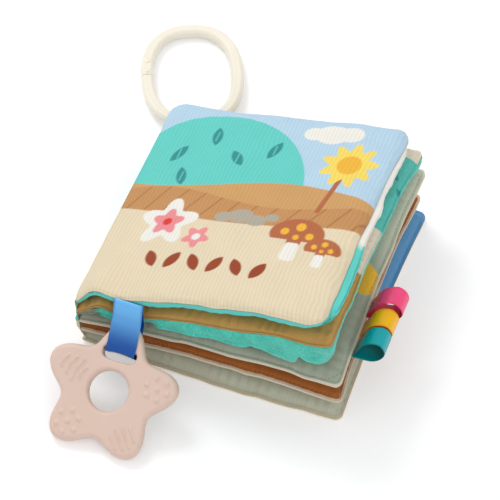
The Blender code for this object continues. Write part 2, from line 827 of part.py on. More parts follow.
def build():
    for old in list(bpy.data.objects):
        bpy.data.objects.remove(old)
    book = bpy.data.objects.new("book_frame", None)
    bpy.context.scene.collection.objects.link(book)
    book.location = (-LEAF_W / 2, -LEAF_L / 2, 0)

    resting_crown = SPINE_STEP / 2 - CLOTH + REST_CUT
    back = Leaf(
        "back_cover",
        0,
        PAGE_CROWN,
        resting_crown,
        drop=BACK_SEAM_DROP,
        draw_in=-BACK_SPREAD,
        rests=True,
    )
    plain = Leaf("plain_page", PLAIN_PAGE_SLOPE, PAGE_CROWN, PAGE_CROWN, twist=PLAIN_PAGE_TWIST)
    tag = Leaf("tag_page", TAG_PAGE_SLOPE, PAGE_CROWN, PAGE_CROWN, twist=TAG_PAGE_TWIST)
    plush = Leaf(
        "plush_page",
        PLUSH_PAGE_SLOPE,
        PAGE_CROWN,
        PLUSH_CROWN,
        bows=(PLUSH_PAGE_BOW, PLUSH_PAGE_BOW),
        twist=PLUSH_PAGE_TWIST,
        plush=True,
    )
    front = Leaf(
        "front_cover",
        FRONT_COVER_SLOPE,
        COVER_CROWN,
        COVER_LINING_CROWN,
        bows=(COVER_FRONT_BOW, COVER_BACK_BOW),
        twist=COVER_TWIST,
        taper=COVER_TAPER,
    )
    leaves = [back, plain, tag, plush, front]
    for below, above in zip(leaves, leaves[1:]):
        above.foot = below.foot + below.up * SPINE_STEP

    brown_top = ("plain_page_upper_cloth", "brown_cloth")
    pale_under = ("plain_page_lower_cloth", "pale_cloth")
    sage_top = ("tag_page_upper_cloth", "sage_cloth")
    brown_under = ("tag_page_lower_cloth", "brown_cloth")
    add_leaf(back, ("back_cover_lining", "sage_cloth"), ("back_cover_cloth", "print_cloth"), book)
    add_leaf(plain, brown_top, pale_under, book, film=True)
    add_leaf(tag, sage_top, brown_under, book, film=True)
    add_leaf(plush, ("plush_page_cloth", "ochre_cloth"), ("plush_page_plush", "plush"), book)
    add_leaf(front, ("front_cover_cloth", "print_cloth"), ("front_cover_lining", "lining_cloth"), book)

    add_teether(book)
    add_hanger_ribbon(front, book)
    add_tags(tag, book)
    add_strap(back, book)
    add_ring(back, book)

    print_places(leaves, book.location)


def print_places(leaves, shift):
    """Prints the places of the joints and openings, in world metres."""
    back, tag, front = leaves[0], leaves[2], leaves[4]
    places = [(f"{leaf.name} hinge line", leaf.foot) for leaf in leaves[1:]]
    places += [
        ("ribbon seam", ribbon_seam(front)),
        ("teether bar", teether_centre() + teether_up() * TEETHER_SLOT_TOP),
        ("teether centre", teether_centre()),
        ("strap seam", strap_seam(back)),
        ("ring near end", ring_near_place(back)),
        ("ring centre", ring_near_place(back) + ring_way() * ring_half_sizes()[1]),
    ]
    places += [(f"{colour} tag seam", tag_seam(tag, i)) for i, colour in enumerate(TAG_COLOURS)]
    for name, place in places:
        print(name, *(round(value, 6) for value in place + shift))
    print("ring way", *(round(value, 6) for value in ring_way()))


build()
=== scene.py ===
from dataclasses import dataclass
from math import asin, ceil, cos, hypot, pi, radians, sin, sqrt, tan

import bmesh
import bpy
import numpy as np
from mathutils import Matrix, Vector


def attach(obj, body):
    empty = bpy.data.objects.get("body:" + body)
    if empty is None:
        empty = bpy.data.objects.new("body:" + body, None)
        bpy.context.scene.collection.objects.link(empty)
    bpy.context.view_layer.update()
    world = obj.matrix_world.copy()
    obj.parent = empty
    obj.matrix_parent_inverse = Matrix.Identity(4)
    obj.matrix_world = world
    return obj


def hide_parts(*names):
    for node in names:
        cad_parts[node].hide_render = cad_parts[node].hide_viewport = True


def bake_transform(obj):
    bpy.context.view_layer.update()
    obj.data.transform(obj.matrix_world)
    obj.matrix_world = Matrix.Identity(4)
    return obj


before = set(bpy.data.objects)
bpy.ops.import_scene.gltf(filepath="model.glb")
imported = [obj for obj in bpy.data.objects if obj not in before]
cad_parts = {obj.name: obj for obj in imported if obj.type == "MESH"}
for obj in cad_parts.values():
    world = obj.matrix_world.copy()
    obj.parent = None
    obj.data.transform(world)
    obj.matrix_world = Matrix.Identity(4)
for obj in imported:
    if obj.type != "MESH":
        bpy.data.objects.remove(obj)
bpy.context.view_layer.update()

# Leaves, in metres: x runs from the spine to the fore-edge, y from the front edge to the back edge
LEAF_W = 0.175
LEAF_L = 0.175
SPINE_STEP = 0.0091
CORNER_R = 0.011
PAGE_CORNER_R = 0.0048
COVER_BACK_CORNER_R = 0.011
SEAM_FLANGE = 0.0025
CLOTH = 0.0009
PLUSH = 0.0018
SPINE_CLOTH = 0.0012
FILM = 0.0003
GAP = 0.0003
LEAF_START = SPINE_CLOTH + GAP
DRAW_IN = 0.0025
EDGE_SWELL = 0.017
PLUSH_SWELL = 0.006
CLOTH_REACH = 0.012
CROWN_REACH = 0.065
PLUSH_CROWN_REACH = 0.120
BULGE_REACH = 0.02
BACK_SEAM_DROP = 0.0020
BOW_FULLNESS = 0.7
RIPPLE = 0.0009
RIPPLE_WAVES = 3
WANDER = 0.0008
WANDER_CELL = 0.010
COARSER = 4
INNER_CELLS = 36
RESTING_SWELL = 0.0005
BULGE_CELL = 0.013
BULGE_FADE = (0.08, 0.06)
EDGE_BLUR = 0.0004

# Gathers along the seams (depth, pitch, reach) and shallow folds of the stuffing (depth, width)
PAGE_GATHERS = (0.0009, 0.0075, 0.009)
OCHRE_GATHERS = (0.0013, 0.0066, 0.009)
COVER_GATHERS = (0.0008, 0.010, 0.010)
PLUSH_GATHERS = (0.0010, 0.024, 0.012)
PAGE_FOLDS = (0.0008, 0.028)
COVER_FOLDS = (0.0007, 0.034)
PLUSH_FOLDS = (0.0009, 0.022)
GATHER_WANDER = 0.021
GATHER_CELL = 0.013
GATHER_FROM = 0.0008
GATHER_RUN = 0.003
FOLD_RUN = 0.012
SPINE_CALM = 0.02
RIBBON_CALM = (0.0125, 0.02)

# The pile's tufts (depth, width, seed) and how the plush sags at its front edge (depth, start, run)
TUFTS = ((0.00035, 0.0022, 71), (0.00025, 0.0011, 72))
SAGS = ((0.0046, 0.118, 0.03), (0.0052, 0.09, 0.06))
SAG_LEAST = 0.0010
SAG_EDGE = (0.012, 0.03)
SCALLOP_PITCH = 0.034
SCALLOP_START = (0.03, 0.03)
PLUSH_CREASES = (0.056, 0.088, 0.118, 0.150)
CREASE_HALF_W = 0.0032

# The spine's front end, where its cloth flares out and the pages' closed ends reach into it
FLARE_FROM = 0.004
FLARE_RUN = 0.028
NOSE_X = -0.0026
NOSE_RUN = 0.003
NOSE_BLEND = 0.03
SPINE_PUFFS = (0.0006, 0.0012, 0.0012, 0.0008, 0.0004)
SPINE_FLARES = (0.0024, 0.0070, 0.0072, 0.0042, 0.0022)
SPINE_HEM = 0.0040
SPINE_MARGIN = 0.0015
SPINE_COLUMNS = 121
SPINE_STEPS = 8
SPINE_TUCK = 0.0012
SPINE_TUCK_RUN = 0.006
SPINE_PUCKER = 0.0004
PUCKER_CELL = 0.011
SPINE_TOE = 0.0006
SPINE_TIP = 0.0004
HEM_DEPTH = 0.0021
HEM_SPAN = (0.45, 0.93)

# Ribbons
SATIN = 0.0006
SEAM_HALF = (SATIN + GAP) / 2
SELVEDGE_FROM = 0.94
RIBBON_STEP = 0.0005
HANGER_RIBBON_W = 0.0195
HANGER_RIBBON_X = 0.041
HANGER_STUB = 0.0012
HANGER_ROOM = 0.0024
HANGER_SAG = 0.0014
HANGER_SAG_REACH = 0.0085
HANGER_BOW = 0.00025
HANGER_CREASE = 0.00005
NOTCH_HALF_W = 0.0110
TAG_W = 0.0148
TAG_REACH = 0.0190
TAG_HALF_HEIGHT = 0.0080
TAG_SWELL_FROM = 0.0095
TAG_FIRST_Y = 0.0365
TAG_PITCH = 0.0151
TAG_LIFT = 14.0
TAG_EXTRA_REACH = (0.0010, 0.0015, 0.0040)
TAG_ASLANT = 0.0055
TAG_SATIN_W = 0.0140
TAG_EXTRA_LIFT = 3.0
TAG_EXTRA_HEIGHT = 0.0006
TAG_CREASE = 0.00012
STRAP_W = 0.012
STRAP_REACH = 0.0155
STRAP_X = 0.0070

# Teether
TEETHER_MEAN_R = 0.0378
TEETHER_ARM = 0.0070
TEETHER_HALF_T = 0.0045
TEETHER_EDGE_R = 0.0035
TEETHER_LIP_R = 0.0030
TEETHER_HOLE_R = 0.013
TEETHER_SLOT_TOP = 0.0262
TEETHER_SLOT_H = 0.0070
TEETHER_SLOT_W = 0.0225
TEETHER_SLACK = 0.0022
TEETHER_LEAN = 30.0
TEETHER_X = 0.0352
TEETHER_Y = -0.0430
TEETHER_TURNS = 360
TEETHER_RINGS = 60
SLOT_CORNER_R = 0.0028
SLOT_LIP_R = 0.0014
CUTTER_HALF = 0.02
TEXTURE_MARGIN = 0.003
DOME_RISE = 0.0014
DOME_FOOT_R = 0.0022
RIDGE_RISE = 0.0011
RIDGE_FOOT = 0.0013
RIDGE_BOW = 0.0012
SLOT_BOW = 11.0
DOME_ROWS = ((0.0251, (-0.0034, 0.0034)), (0.0316, (-0.0070, 0.0, 0.0070)), (0.0381, (-0.0034, 0.0034)))
CROSS_RIDGES = ((0.0350, 0.0042), (0.0299, 0.0061), (0.0248, 0.0078), (0.0206, 0.0042))
LONG_RIDGES = ((0.0272, 0.0362, -0.0065), (0.0252, 0.0386, -0.0022),
               (0.0252, 0.0386, 0.0022), (0.0272, 0.0362, 0.0065))

# Ring
RING_W = 0.072
RING_L = 0.0955
RING_SQUARENESS = 2.4
RING_STROKE = 0.009
RING_T = 0.008
RING_CHAMFER = 0.0022
RING_GROOVE = 0.0006
RING_GROOVE_DEPTH = 0.0002
RING_ROUND = 0.0009
GROOVE_ROUND = 0.0006
RING_CUT = 0.0006
RING_SKEW = 24.0
RING_STEPS = 260
NUB_TURNS = (-0.050, -0.232)
NUB_R = 0.0021
NUB_SQUASH = 0.5

# Threads and stitches
COTTON_PITCH = 0.00055
SATIN_PITCH = 0.0004
THREAD_TWIST = 0.0006
THREAD_R = 0.0003
STITCH_START = 0.006
STITCH_PITCH = 0.0030
STITCH_LENGTH = 0.0021
STITCH_SINK = 0.0002
STITCH_RISE = 0.00022
TAG_PAGE_STITCH_IN = 0.0024
PLAIN_PAGE_STITCH_IN = 0.0026

# Stage
FLOOR_HALF = 6.0
FLOOR_GLOW = 0.26
BRIGHT_SIDE = (-0.45, 0.25, 0.86)
SKY_LIGHT = (0.52, 0.78)
CAMERA_PLACE = (0.3329, -0.9034, 1.3093)
CAMERA_TARGET = (-0.0144, 0.0201, 0)
CAMERA_LENS = 177.16

SHIFT = np.array((-LEAF_W / 2, -LEAF_L / 2, 0.0))
MM = 0.001


def srgb(red, green, blue):
    """A linear colour from the values of a picture, 0 to 255."""
    shares = [value / 255 for value in (red, green, blue)]
    return tuple(s / 12.92 if s <= 0.04045 else ((s + 0.055) / 1.055) ** 2.4 for s in shares)


BEIGE = srgb(238, 222, 190)
SKY = srgb(190, 220, 240)
YELLOW = srgb(255, 226, 105)
AMBER = srgb(250, 190, 60)
OCHRE = srgb(215, 165, 105)
GREY = srgb(184, 176, 158)
AQUA = srgb(105, 215, 205)
DEEP_TEAL = srgb(50, 150, 150)
BROWN = srgb(190, 110, 70)
RUST = srgb(160, 70, 35)
WHITE = srgb(247, 245, 236)
PINK = srgb(245, 150, 155)
RED = srgb(235, 60, 50)
LINING = srgb(100, 215, 205)
PAGE_OCHRE = srgb(196, 152, 84)
SAGE = srgb(172, 176, 158)
PAGE_BROWN = srgb(165, 98, 42)
CREAM = srgb(228, 218, 198)
PALE_SAGE = srgb(190, 190, 170)
PAGE_BLUE = srgb(94, 152, 198)
STONE = srgb(206, 204, 184)
NAVY = srgb(40, 50, 90)
SILICONE = srgb(226, 199, 184)
RING_CREAM = srgb(251, 243, 226)


def clamp(value, low=0.0, high=1.0):
    return np.clip(value, low, high)


def smooth(value):
    share = clamp(value)
    return share * share * (3 - 2 * share)


def noise(x, y, cell, seed):
    """Smooth noise from -1 to 1 over a plane, its lumps about one cell wide."""
    size = 64
    lattice = np.random.default_rng(seed).uniform(-1, 1, (size, size))
    u = x / cell + size / 2
    v = y / cell + size / 2
    i = np.floor(u).astype(int)
    j = np.floor(v).astype(int)
    a = smooth(u - i)
    b = smooth(v - j)

    def at(di, dj):
        return lattice[(i + di) % size, (j + dj) % size]

    low = at(0, 0) * (1 - a) + at(1, 0) * a
    high = at(0, 1) * (1 - a) + at(1, 1) * a
    return low * (1 - b) + high * b


def seam_distance(x, y, corner_r=CORNER_R):
    """Distance to the nearest sewn side, whose fore-edge corners are round."""
    from_fore = LEAF_W - x
    from_side = np.minimum(y, LEAF_L - y)
    corner = corner_r - np.hypot(corner_r - from_fore, corner_r - from_side)
    in_corner = (from_fore < corner_r) & (from_side < corner_r)
    return np.where(in_corner, corner, np.minimum(from_fore, from_side))


def edge_share(distance, reach, flange=SEAM_FLANGE):
    """A quarter-round rise from the flange to full depth."""
    run = clamp((distance - flange) / (reach - flange))
    return np.sqrt(1 - (1 - run) ** 2)


def outward(x, y, reach):
    """Distance in from a rounded square, and the way to the nearest sewn side."""
    from_fore = np.maximum(0, reach - (LEAF_W - x))
    from_side = np.maximum(0, reach - np.minimum(y, LEAF_L - y))
    length = np.hypot(from_fore, from_side)
    unit = np.maximum(length, 1e-9)
    return reach - length, from_fore / unit, np.where(y < LEAF_L / 2, -1, 1) * from_side / unit


@dataclass
class Leaf:
    """One padded leaf, which follows the slope and the swell of its solid."""

    name: str
    slope: float
    upper: float
    lower: float
    bows: tuple = (0.0, 0.0)
    twist: float = 0.0
    taper: float = 0.0
    drop: float = 0.0
    draw_in: float = DRAW_IN
    plush: bool = False
    rests: bool = False
    corner: float = PAGE_CORNER_R
    peaks: tuple = ()
    back_corner: float = 0.0
    waist: float = DRAW_IN

    def __post_init__(self):
        angle = radians(self.slope)
        self.along = np.array((cos(angle), 0.0, sin(angle)))
        self.up = np.array((-sin(angle), 0.0, cos(angle)))
        self.seed = sum(map(ord, self.name)) % 89
        self.foot = np.zeros(3)

    def swell(self, x, y, side, reach=None, flange=SEAM_FLANGE):
        crown = self.upper if side > 0 else self.lower
        fat = self.plush and side < 0
        share = x / (PLUSH_CROWN_REACH if fat else CROWN_REACH)
        at_spine = SPINE_STEP / 2 - (PLUSH if fat else CLOTH) - GAP
        body = at_spine + (crown - at_spine) * smooth(share)
        reach = reach or (PLUSH_SWELL if fat else EDGE_SWELL)
        return GAP / 2 + body * edge_share(seam_distance(x, y, self.corner), reach, flange)

    def middle(self, x, y):
        share_x = x / LEAF_W
        share_y = y / LEAF_L
        edge = 1 - edge_share(seam_distance(x, y), EDGE_SWELL)
        bow = self.bows[0] + (self.bows[1] - self.bows[0]) * share_y
        height = bow * np.maximum(0, np.sin(pi * share_x)) ** BOW_FULLNESS
        height = height + self.twist * (2 * share_y - 1) * share_x**2
        for peak_x, peak_y, reach_x, reach_y, rise in self.peaks:
            away = ((x - peak_x) / reach_x) ** 2 + ((y - peak_y) / reach_y) ** 2
            height = height + rise * np.exp(-away)
        height = height + WANDER * edge**2 * smooth(share_x / 0.2) * noise(x, y, WANDER_CELL, self.seed)
        if self.rests:
            return height - self.drop * edge
        return height + RIPPLE * edge * np.sin(2 * pi * RIPPLE_WAVES * (share_x + share_y)) * share_x

    def place(self, x, y, height):
        """World places of points of the leaf, from their outline places and heights above the middle."""
        share_x = x / LEAF_W
        share_y = y / LEAF_L
        pulled_y = y + self.draw_in * 4 * share_x * (1 - share_x) * (1 - 2 * share_y)
        if self.back_corner:
            run = clamp(1 - x / self.back_corner)
            drawn = self.back_corner * (1 - np.sqrt(1 - run**2))
            pulled_y = pulled_y - drawn * smooth((share_y - 0.75) / 0.25)
        pulled_x = x - share_x**2 * (self.waist * 4 * share_y * (1 - share_y) + self.taper * share_y)
        rise = SPINE_STEP / 2 + height
        if self.rests:
            rise = np.maximum(rise, 0)
        spots = self.foot + SHIFT + pulled_x[..., None] * self.along + rise[..., None] * self.up
        spots[..., 1] += pulled_y
        return spots

    def seam_spot(self, x, y):
        """A place of the leaf's sewn seam, measured from the spine's front corner."""
        x, y = np.float64(x), np.float64(y)
        return self.place(x, y, self.middle(x, y)) - SHIFT

    def off_seam(self, x, y, half_x, half_y, way):
        """A place just off the seam, clear of all of it that a ribbon's width spans."""
        seam = self.seam_spot(x, y)
        spots = [self.seam_spot(x + half_x * side, y + half_y * side) for side in (-1, 0, 1)]
        reach = max(np.dot(spot, way) for spot in spots)
        return Vector(seam + np.array(way) * (reach - np.dot(seam, way) + 1.5 * GAP + SATIN))


def make_leaves():
    resting_crown = SPINE_STEP / 2 - CLOTH + RESTING_SWELL
    cover_peaks = ((0.0175, 0.0, 0.0120, 0.028, 0.0098), (0.004, 0.175, 0.022, 0.030, 0.0030))
    plush_peaks = ((0.0155, 0.0, 0.0090, 0.026, 0.0068),)
    leaves = [
        Leaf("back_cover", 0, 0.0042, resting_crown, drop=BACK_SEAM_DROP, draw_in=-0.0030, rests=True),
        Leaf("plain_page", 2.5, 0.0042, 0.0042, twist=0.0005, taper=0.0042, waist=0.0044),
        Leaf("tag_page", 6.8, 0.0042, 0.0042, twist=0.0060),
        Leaf("plush_page", 13.4, 0.0042, 0.0095, (0.0030, 0.0030), twist=-0.0046, plush=True,
             peaks=plush_peaks),
        Leaf("front_cover", 16.6, 0.0052, 0.0038, (0.0085, 0.0010), twist=-0.0054, taper=0.0040,
             peaks=cover_peaks, corner=CORNER_R, back_corner=COVER_BACK_CORNER_R),
    ]
    for below, above in zip(leaves, leaves[1:]):
        above.foot = below.foot + below.up * SPINE_STEP
    return leaves


def leaf_grid(cells, corner_r=CORNER_R, crowd=0.0):
    """Outline places of a leaf's grid, its fore-edge corners round and its lines closer at the seams."""
    share = np.linspace(0, 1, cells + 1)
    across = LEAF_START + (LEAF_W - LEAF_START) * (share + crowd * np.sin(pi * share) / pi)
    along = LEAF_L * (share - crowd * np.sin(2 * pi * share) / (2 * pi))
    x, y = np.meshgrid(across, along, indexing="ij")
    low = y < LEAF_L / 2
    a = clamp((x - (LEAF_W - corner_r)) / corner_r)
    b = clamp(np.where(low, corner_r - y, y - (LEAF_L - corner_r)) / corner_r)
    corner = (a > 0) & (b > 0)
    round_a = corner_r * a * np.sqrt(1 - b * b / 2)
    round_b = corner_r * (1 - b * np.sqrt(1 - a * a / 2))
    new_x = np.where(corner, LEAF_W - corner_r + round_a, x)
    new_y = np.where(corner, np.where(low, round_b, LEAF_L - round_b), y)
    return new_x, new_y


# Materials


class Nodes:
    """Adds nodes to the tree of a new material or of the world, and links them."""

    def __init__(self, owner):
        owner.use_nodes = True
        self.owner = owner
        self.tree = owner.node_tree

    def add(self, kind, inputs=None, **settings):
        node = self.tree.nodes.new("ShaderNode" + kind)
        for key, value in settings.items():
            setattr(node, key, value)
        self.feed(node, inputs or {})
        return node

    def feed(self, node, inputs):
        for key, value in inputs.items():
            if isinstance(value, bpy.types.NodeSocket):
                self.tree.links.new(value, node.inputs[key])
            else:
                node.inputs[key].default_value = value

    def stored(self, name, output="Vector"):
        """A value kept at the mesh's points."""
        return self.add("Attribute", attribute_name=name).outputs[output]

    def place(self):
        return self.add("TexCoord").outputs["Object"]

    def math(self, operation, a, b=0.0):
        return self.add("Math", {0: a, 1: b}, operation=operation).outputs[0]

    def plus(self, *values):
        total = values[0]
        for value in values[1:]:
            total = self.math("ADD", total, value)
        return total

    def span(self, value, low, high, from_low=0.0, from_high=1.0):
        """A value from one range mapped to another."""
        inputs = {"Value": value, "From Min": from_low, "From Max": from_high}
        return self.add("MapRange", {**inputs, "To Min": low, "To Max": high}).outputs[0]

    def tint(self, colour, amount):
        """A colour made lighter or darker by a factor."""
        node = self.add("Mix", data_type="RGBA", blend_type="MULTIPLY")
        self.feed(node, {0: 1.0, 6: colour, 7: amount})
        return node.outputs[2]

    def noise(self, vector, scale, detail=2.0, roughness=0.5):
        inputs = {"Vector": vector, "Scale": scale, "Detail": detail, "Roughness": roughness}
        return self.add("TexNoise", inputs).outputs[0]

    def wave(self, vector, pitch, direction="X", more=None):
        """Bands that repeat at this pitch."""
        inputs = {"Vector": vector, "Scale": 2 * pi / 20 / pitch, **(more or {})}
        return self.add("TexWave", inputs, bands_direction=direction).outputs[1]

    def bump(self, height, distance, strength=1.0, normal=None):
        inputs = {"Height": height, "Distance": distance, "Strength": strength}
        if normal is not None:
            inputs["Normal"] = normal
        return self.add("Bump", inputs).outputs[0]

    def finish(self, colour, roughness, normal, more=None):
        """Feeds the shader and gives the material."""
        inputs = {"Base Color": colour, "Roughness": roughness, "Normal": normal, **(more or {})}
        self.feed(self.tree.nodes["Principled BSDF"], inputs)
        return self.owner


def material_nodes(name):
    return Nodes(bpy.data.materials.new(name))


def cloth_material(name, watered=0.08):
    """Woven cotton: fine crossed threads, faint watered bands and slight unevenness of the dye."""
    m = material_nodes(name)
    weave = m.stored("weave")
    threads = m.math("MULTIPLY", m.wave(weave, COTTON_PITCH, "X"), m.wave(weave, COTTON_PITCH, "Y"))
    bands = m.wave(weave, 0.0027, "X", {"Distortion": 11.0, "Detail": 1.0, "Detail Scale": 0.22})
    patches = m.noise(weave, 55.0, 3.0)
    slub = m.noise(weave, 900.0)
    amount = m.plus(
        m.span(bands, 1 - watered, 1.0),
        m.span(patches, -0.05, 0.05),
        m.span(slub, -0.05, 0.05),
        m.span(threads, -0.03, 0.03),
    )
    fine = m.bump(m.plus(threads, m.math("MULTIPLY", slub, 0.8)), 0.00012, 0.5)
    normal = m.bump(m.noise(weave, 160.0, 3.0), 0.0012, 0.22, fine)
    nap = {"Specular IOR Level": 0.25, "Sheen Weight": 0.15, "Sheen Roughness": 0.5}
    return m.finish(m.tint(m.stored("paint", "Color"), amount), 0.88, normal, nap)


def plush_material():
    """Short dense pile, brushed in patches, with painted highlights and shade mottled over its tufts."""
    m = material_nodes("plush_pile")
    place = m.place()
    tufts_and_highlights = m.noise(place, 950.0, 3.0, 0.65)
    brushed = m.noise(place, 120.0, 3.0)
    # The tuft noise paints small highlights and shade into the pile's colour, besides raising its relief
    amount = m.plus(m.span(tufts_and_highlights, 0.72, 1.2, 0.25, 0.75), m.span(brushed, -0.12, 0.12, 0.3, 0.7))
    relief = m.plus(tufts_and_highlights, m.math("MULTIPLY", brushed, 1.5))
    pile = {"Specular IOR Level": 0.1, "Sheen Weight": 0.6, "Sheen Roughness": 0.4}
    pile["Sheen Tint"] = (0.75, 1.0, 0.96, 1)
    return m.finish(m.tint(m.stored("paint", "Color"), amount), 0.95, m.bump(relief, 0.0008, 0.8), pile)


def satin_material(name, colour, dark):
    """Satin ribbon: floats of thread across it, a streaked gloss, and the dark colour mixed in where "edge"
    says so: along both edges, and as painted highlight and shade along the ribbon.
    """
    m = material_nodes(name)
    run = m.stored("weave")
    floats = m.wave(run, SATIN_PITCH)
    streaks = m.noise(m.add("Mapping", {"Vector": run, "Scale": (1500.0, 60.0, 1.0)}).outputs[0], 1.0)
    amount = m.plus(m.span(streaks, 0.9, 1.1), m.span(floats, -0.04, 0.04))
    # edge blends towards the dark colour: at both edges, and as painted highlight and shade along the
    # ribbon
    blend = m.add("Mix", data_type="RGBA")
    m.feed(blend, {0: m.stored("edge", "Fac"), 6: (*colour, 1), 7: (*dark, 1)})
    relief = m.plus(m.math("MULTIPLY", floats, 0.6), streaks)
    gloss = {"Metallic": 0.1, "Specular IOR Level": 0.4, "Anisotropic": 0.4}
    return m.finish(m.tint(blend.outputs[2], amount), 0.24, m.bump(relief, 0.00005, 0.4), gloss)


def see_through(share, reach, scale, gloss):
    """Inputs of a moulded material that lets some light in."""
    light = {"Subsurface Weight": share, "Subsurface Radius": reach, "Subsurface Scale": scale}
    return {**light, "Specular IOR Level": gloss}


def silicone_material():
    """Moulded silicone: matt, faintly mottled and a little see-through at thin edges."""
    m = material_nodes("moulded_silicone")
    place = m.place()
    haze = m.noise(place, 40.0, 3.0)
    grain = m.noise(place, 2600.0)
    colour = m.tint((*SILICONE, 1), m.plus(m.span(haze, 0.96, 1.04), m.span(grain, -0.015, 0.015)))
    depth = see_through(0.12, (0.012, 0.006, 0.004), 0.12, 0.4)
    return m.finish(colour, m.span(grain, 0.42, 0.52), m.bump(grain, 0.00004, 0.3), depth)


def ring_material():
    """Cream moulded plastic with a soft gloss."""
    m = material_nodes("cream_plastic")
    place = m.place()
    haze = m.noise(place, 35.0)
    grain = m.noise(place, 1400.0)
    colour = m.tint((*RING_CREAM, 1), m.span(haze, 0.97, 1.02))
    depth = see_through(0.08, (0.01, 0.008, 0.005), 0.1, 0.5)
    return m.finish(colour, m.span(grain, 0.26, 0.34), m.bump(grain, 0.00003, 0.2), depth)


def thread_material(name, colour):
    """Twisted sewing thread."""
    m = material_nodes(name)
    twist = m.wave(m.place(), THREAD_TWIST, "DIAGONAL")
    return m.finish(m.tint((*colour, 1), m.span(twist, 0.8, 1.08)), 0.7, m.bump(twist, 0.00008, 0.6))


def inner_material(name, colour, scale, shades, roughness, relief):
    """Wadding or film inside a leaf, shaded, roughened and creased by one noise."""
    m = material_nodes(name)
    creases = m.noise(m.place(), scale, 4.0, 0.7)
    shaded = m.tint((*colour, 1), m.span(creases, *shades))
    return m.finish(shaded, m.span(creases, *roughness), m.bump(creases, *relief))


# Prints. Each shape gives the distance to its outline, in millimetres, less than nothing inside it.


def disc(x, y, cx, cy, radius):
    return np.hypot(x - cx, y - cy) - radius


def turned(x, y, cx, cy, turn):
    c, s = cos(radians(turn)), sin(radians(turn))
    return (x - cx) * c + (y - cy) * s, (y - cy) * c - (x - cx) * s


def oval(x, y, cx, cy, half_w, half_h, turn=0.0):
    p, q = turned(x, y, cx, cy, turn)
    return (np.hypot(p / half_w, q / half_h) - 1) * min(half_w, half_h)


def slab(x, y, cx, cy, half_w, half_h, turn=0.0, soft=1.0):
    p, q = turned(x, y, cx, cy, turn)
    dx = np.abs(p) - half_w + soft
    dy = np.abs(q) - half_h + soft
    outside = np.hypot(np.maximum(dx, 0), np.maximum(dy, 0))
    return outside + np.minimum(np.maximum(dx, dy), 0) - soft


def petals(x, y, cx, cy, radius, depth, count, turn=0.0):
    angle = np.arctan2(y - cy, x - cx)
    return np.hypot(x - cx, y - cy) - radius - depth * np.cos(count * (angle - radians(turn)))


def lens(x, y, cx, cy, half_l, half_w, turn=0.0):
    """A leaf shape: two equal arcs meeting in points."""
    p, q = turned(x, y, cx, cy, turn)
    radius = (half_l**2 + half_w**2) / (2 * half_w)
    return np.hypot(p, np.abs(q) + radius - half_w) - radius


def stroke(x, y, ax, ay, bx, by, width):
    length = hypot(bx - ax, by - ay)
    along = clamp(((x - ax) * (bx - ax) + (y - ay) * (by - ay)) / length**2)
    return np.hypot(x - ax - along * (bx - ax), y - ay - along * (by - ay)) - width / 2


def hill(x, y, level, swing, length, phase=0.0):
    """Everything in front of a wavy line across the page."""
    return y - level - swing * np.sin(2 * pi * (x / length + phase))


class Print:
    """A page's colours, painted shape over shape."""

    EDGE = 0.7

    def __init__(self, x, y, base):
        self.x = x / MM
        self.y = y / MM
        self.colour = np.broadcast_to(np.array(base), (*x.shape, 3)).copy()

    def add(self, shape, colour, *sizes, inside=None):
        """Paints one shape and returns its cover, which can keep a later shape inside it."""
        cover = clamp(0.5 - shape(self.x, self.y, *sizes) / self.EDGE)
        if inside is not None:
            cover = cover * inside
        return self.cover(cover, colour)

    def cover(self, cover, colour):
        self.colour += cover[..., None] * (np.array(colour) - self.colour)
        return cover

    def fill(self, where, colour):
        """Paints all places where a condition holds, with a sharp edge."""
        self.colour = np.where(where[..., None], np.array(colour), self.colour)
        return self.colour


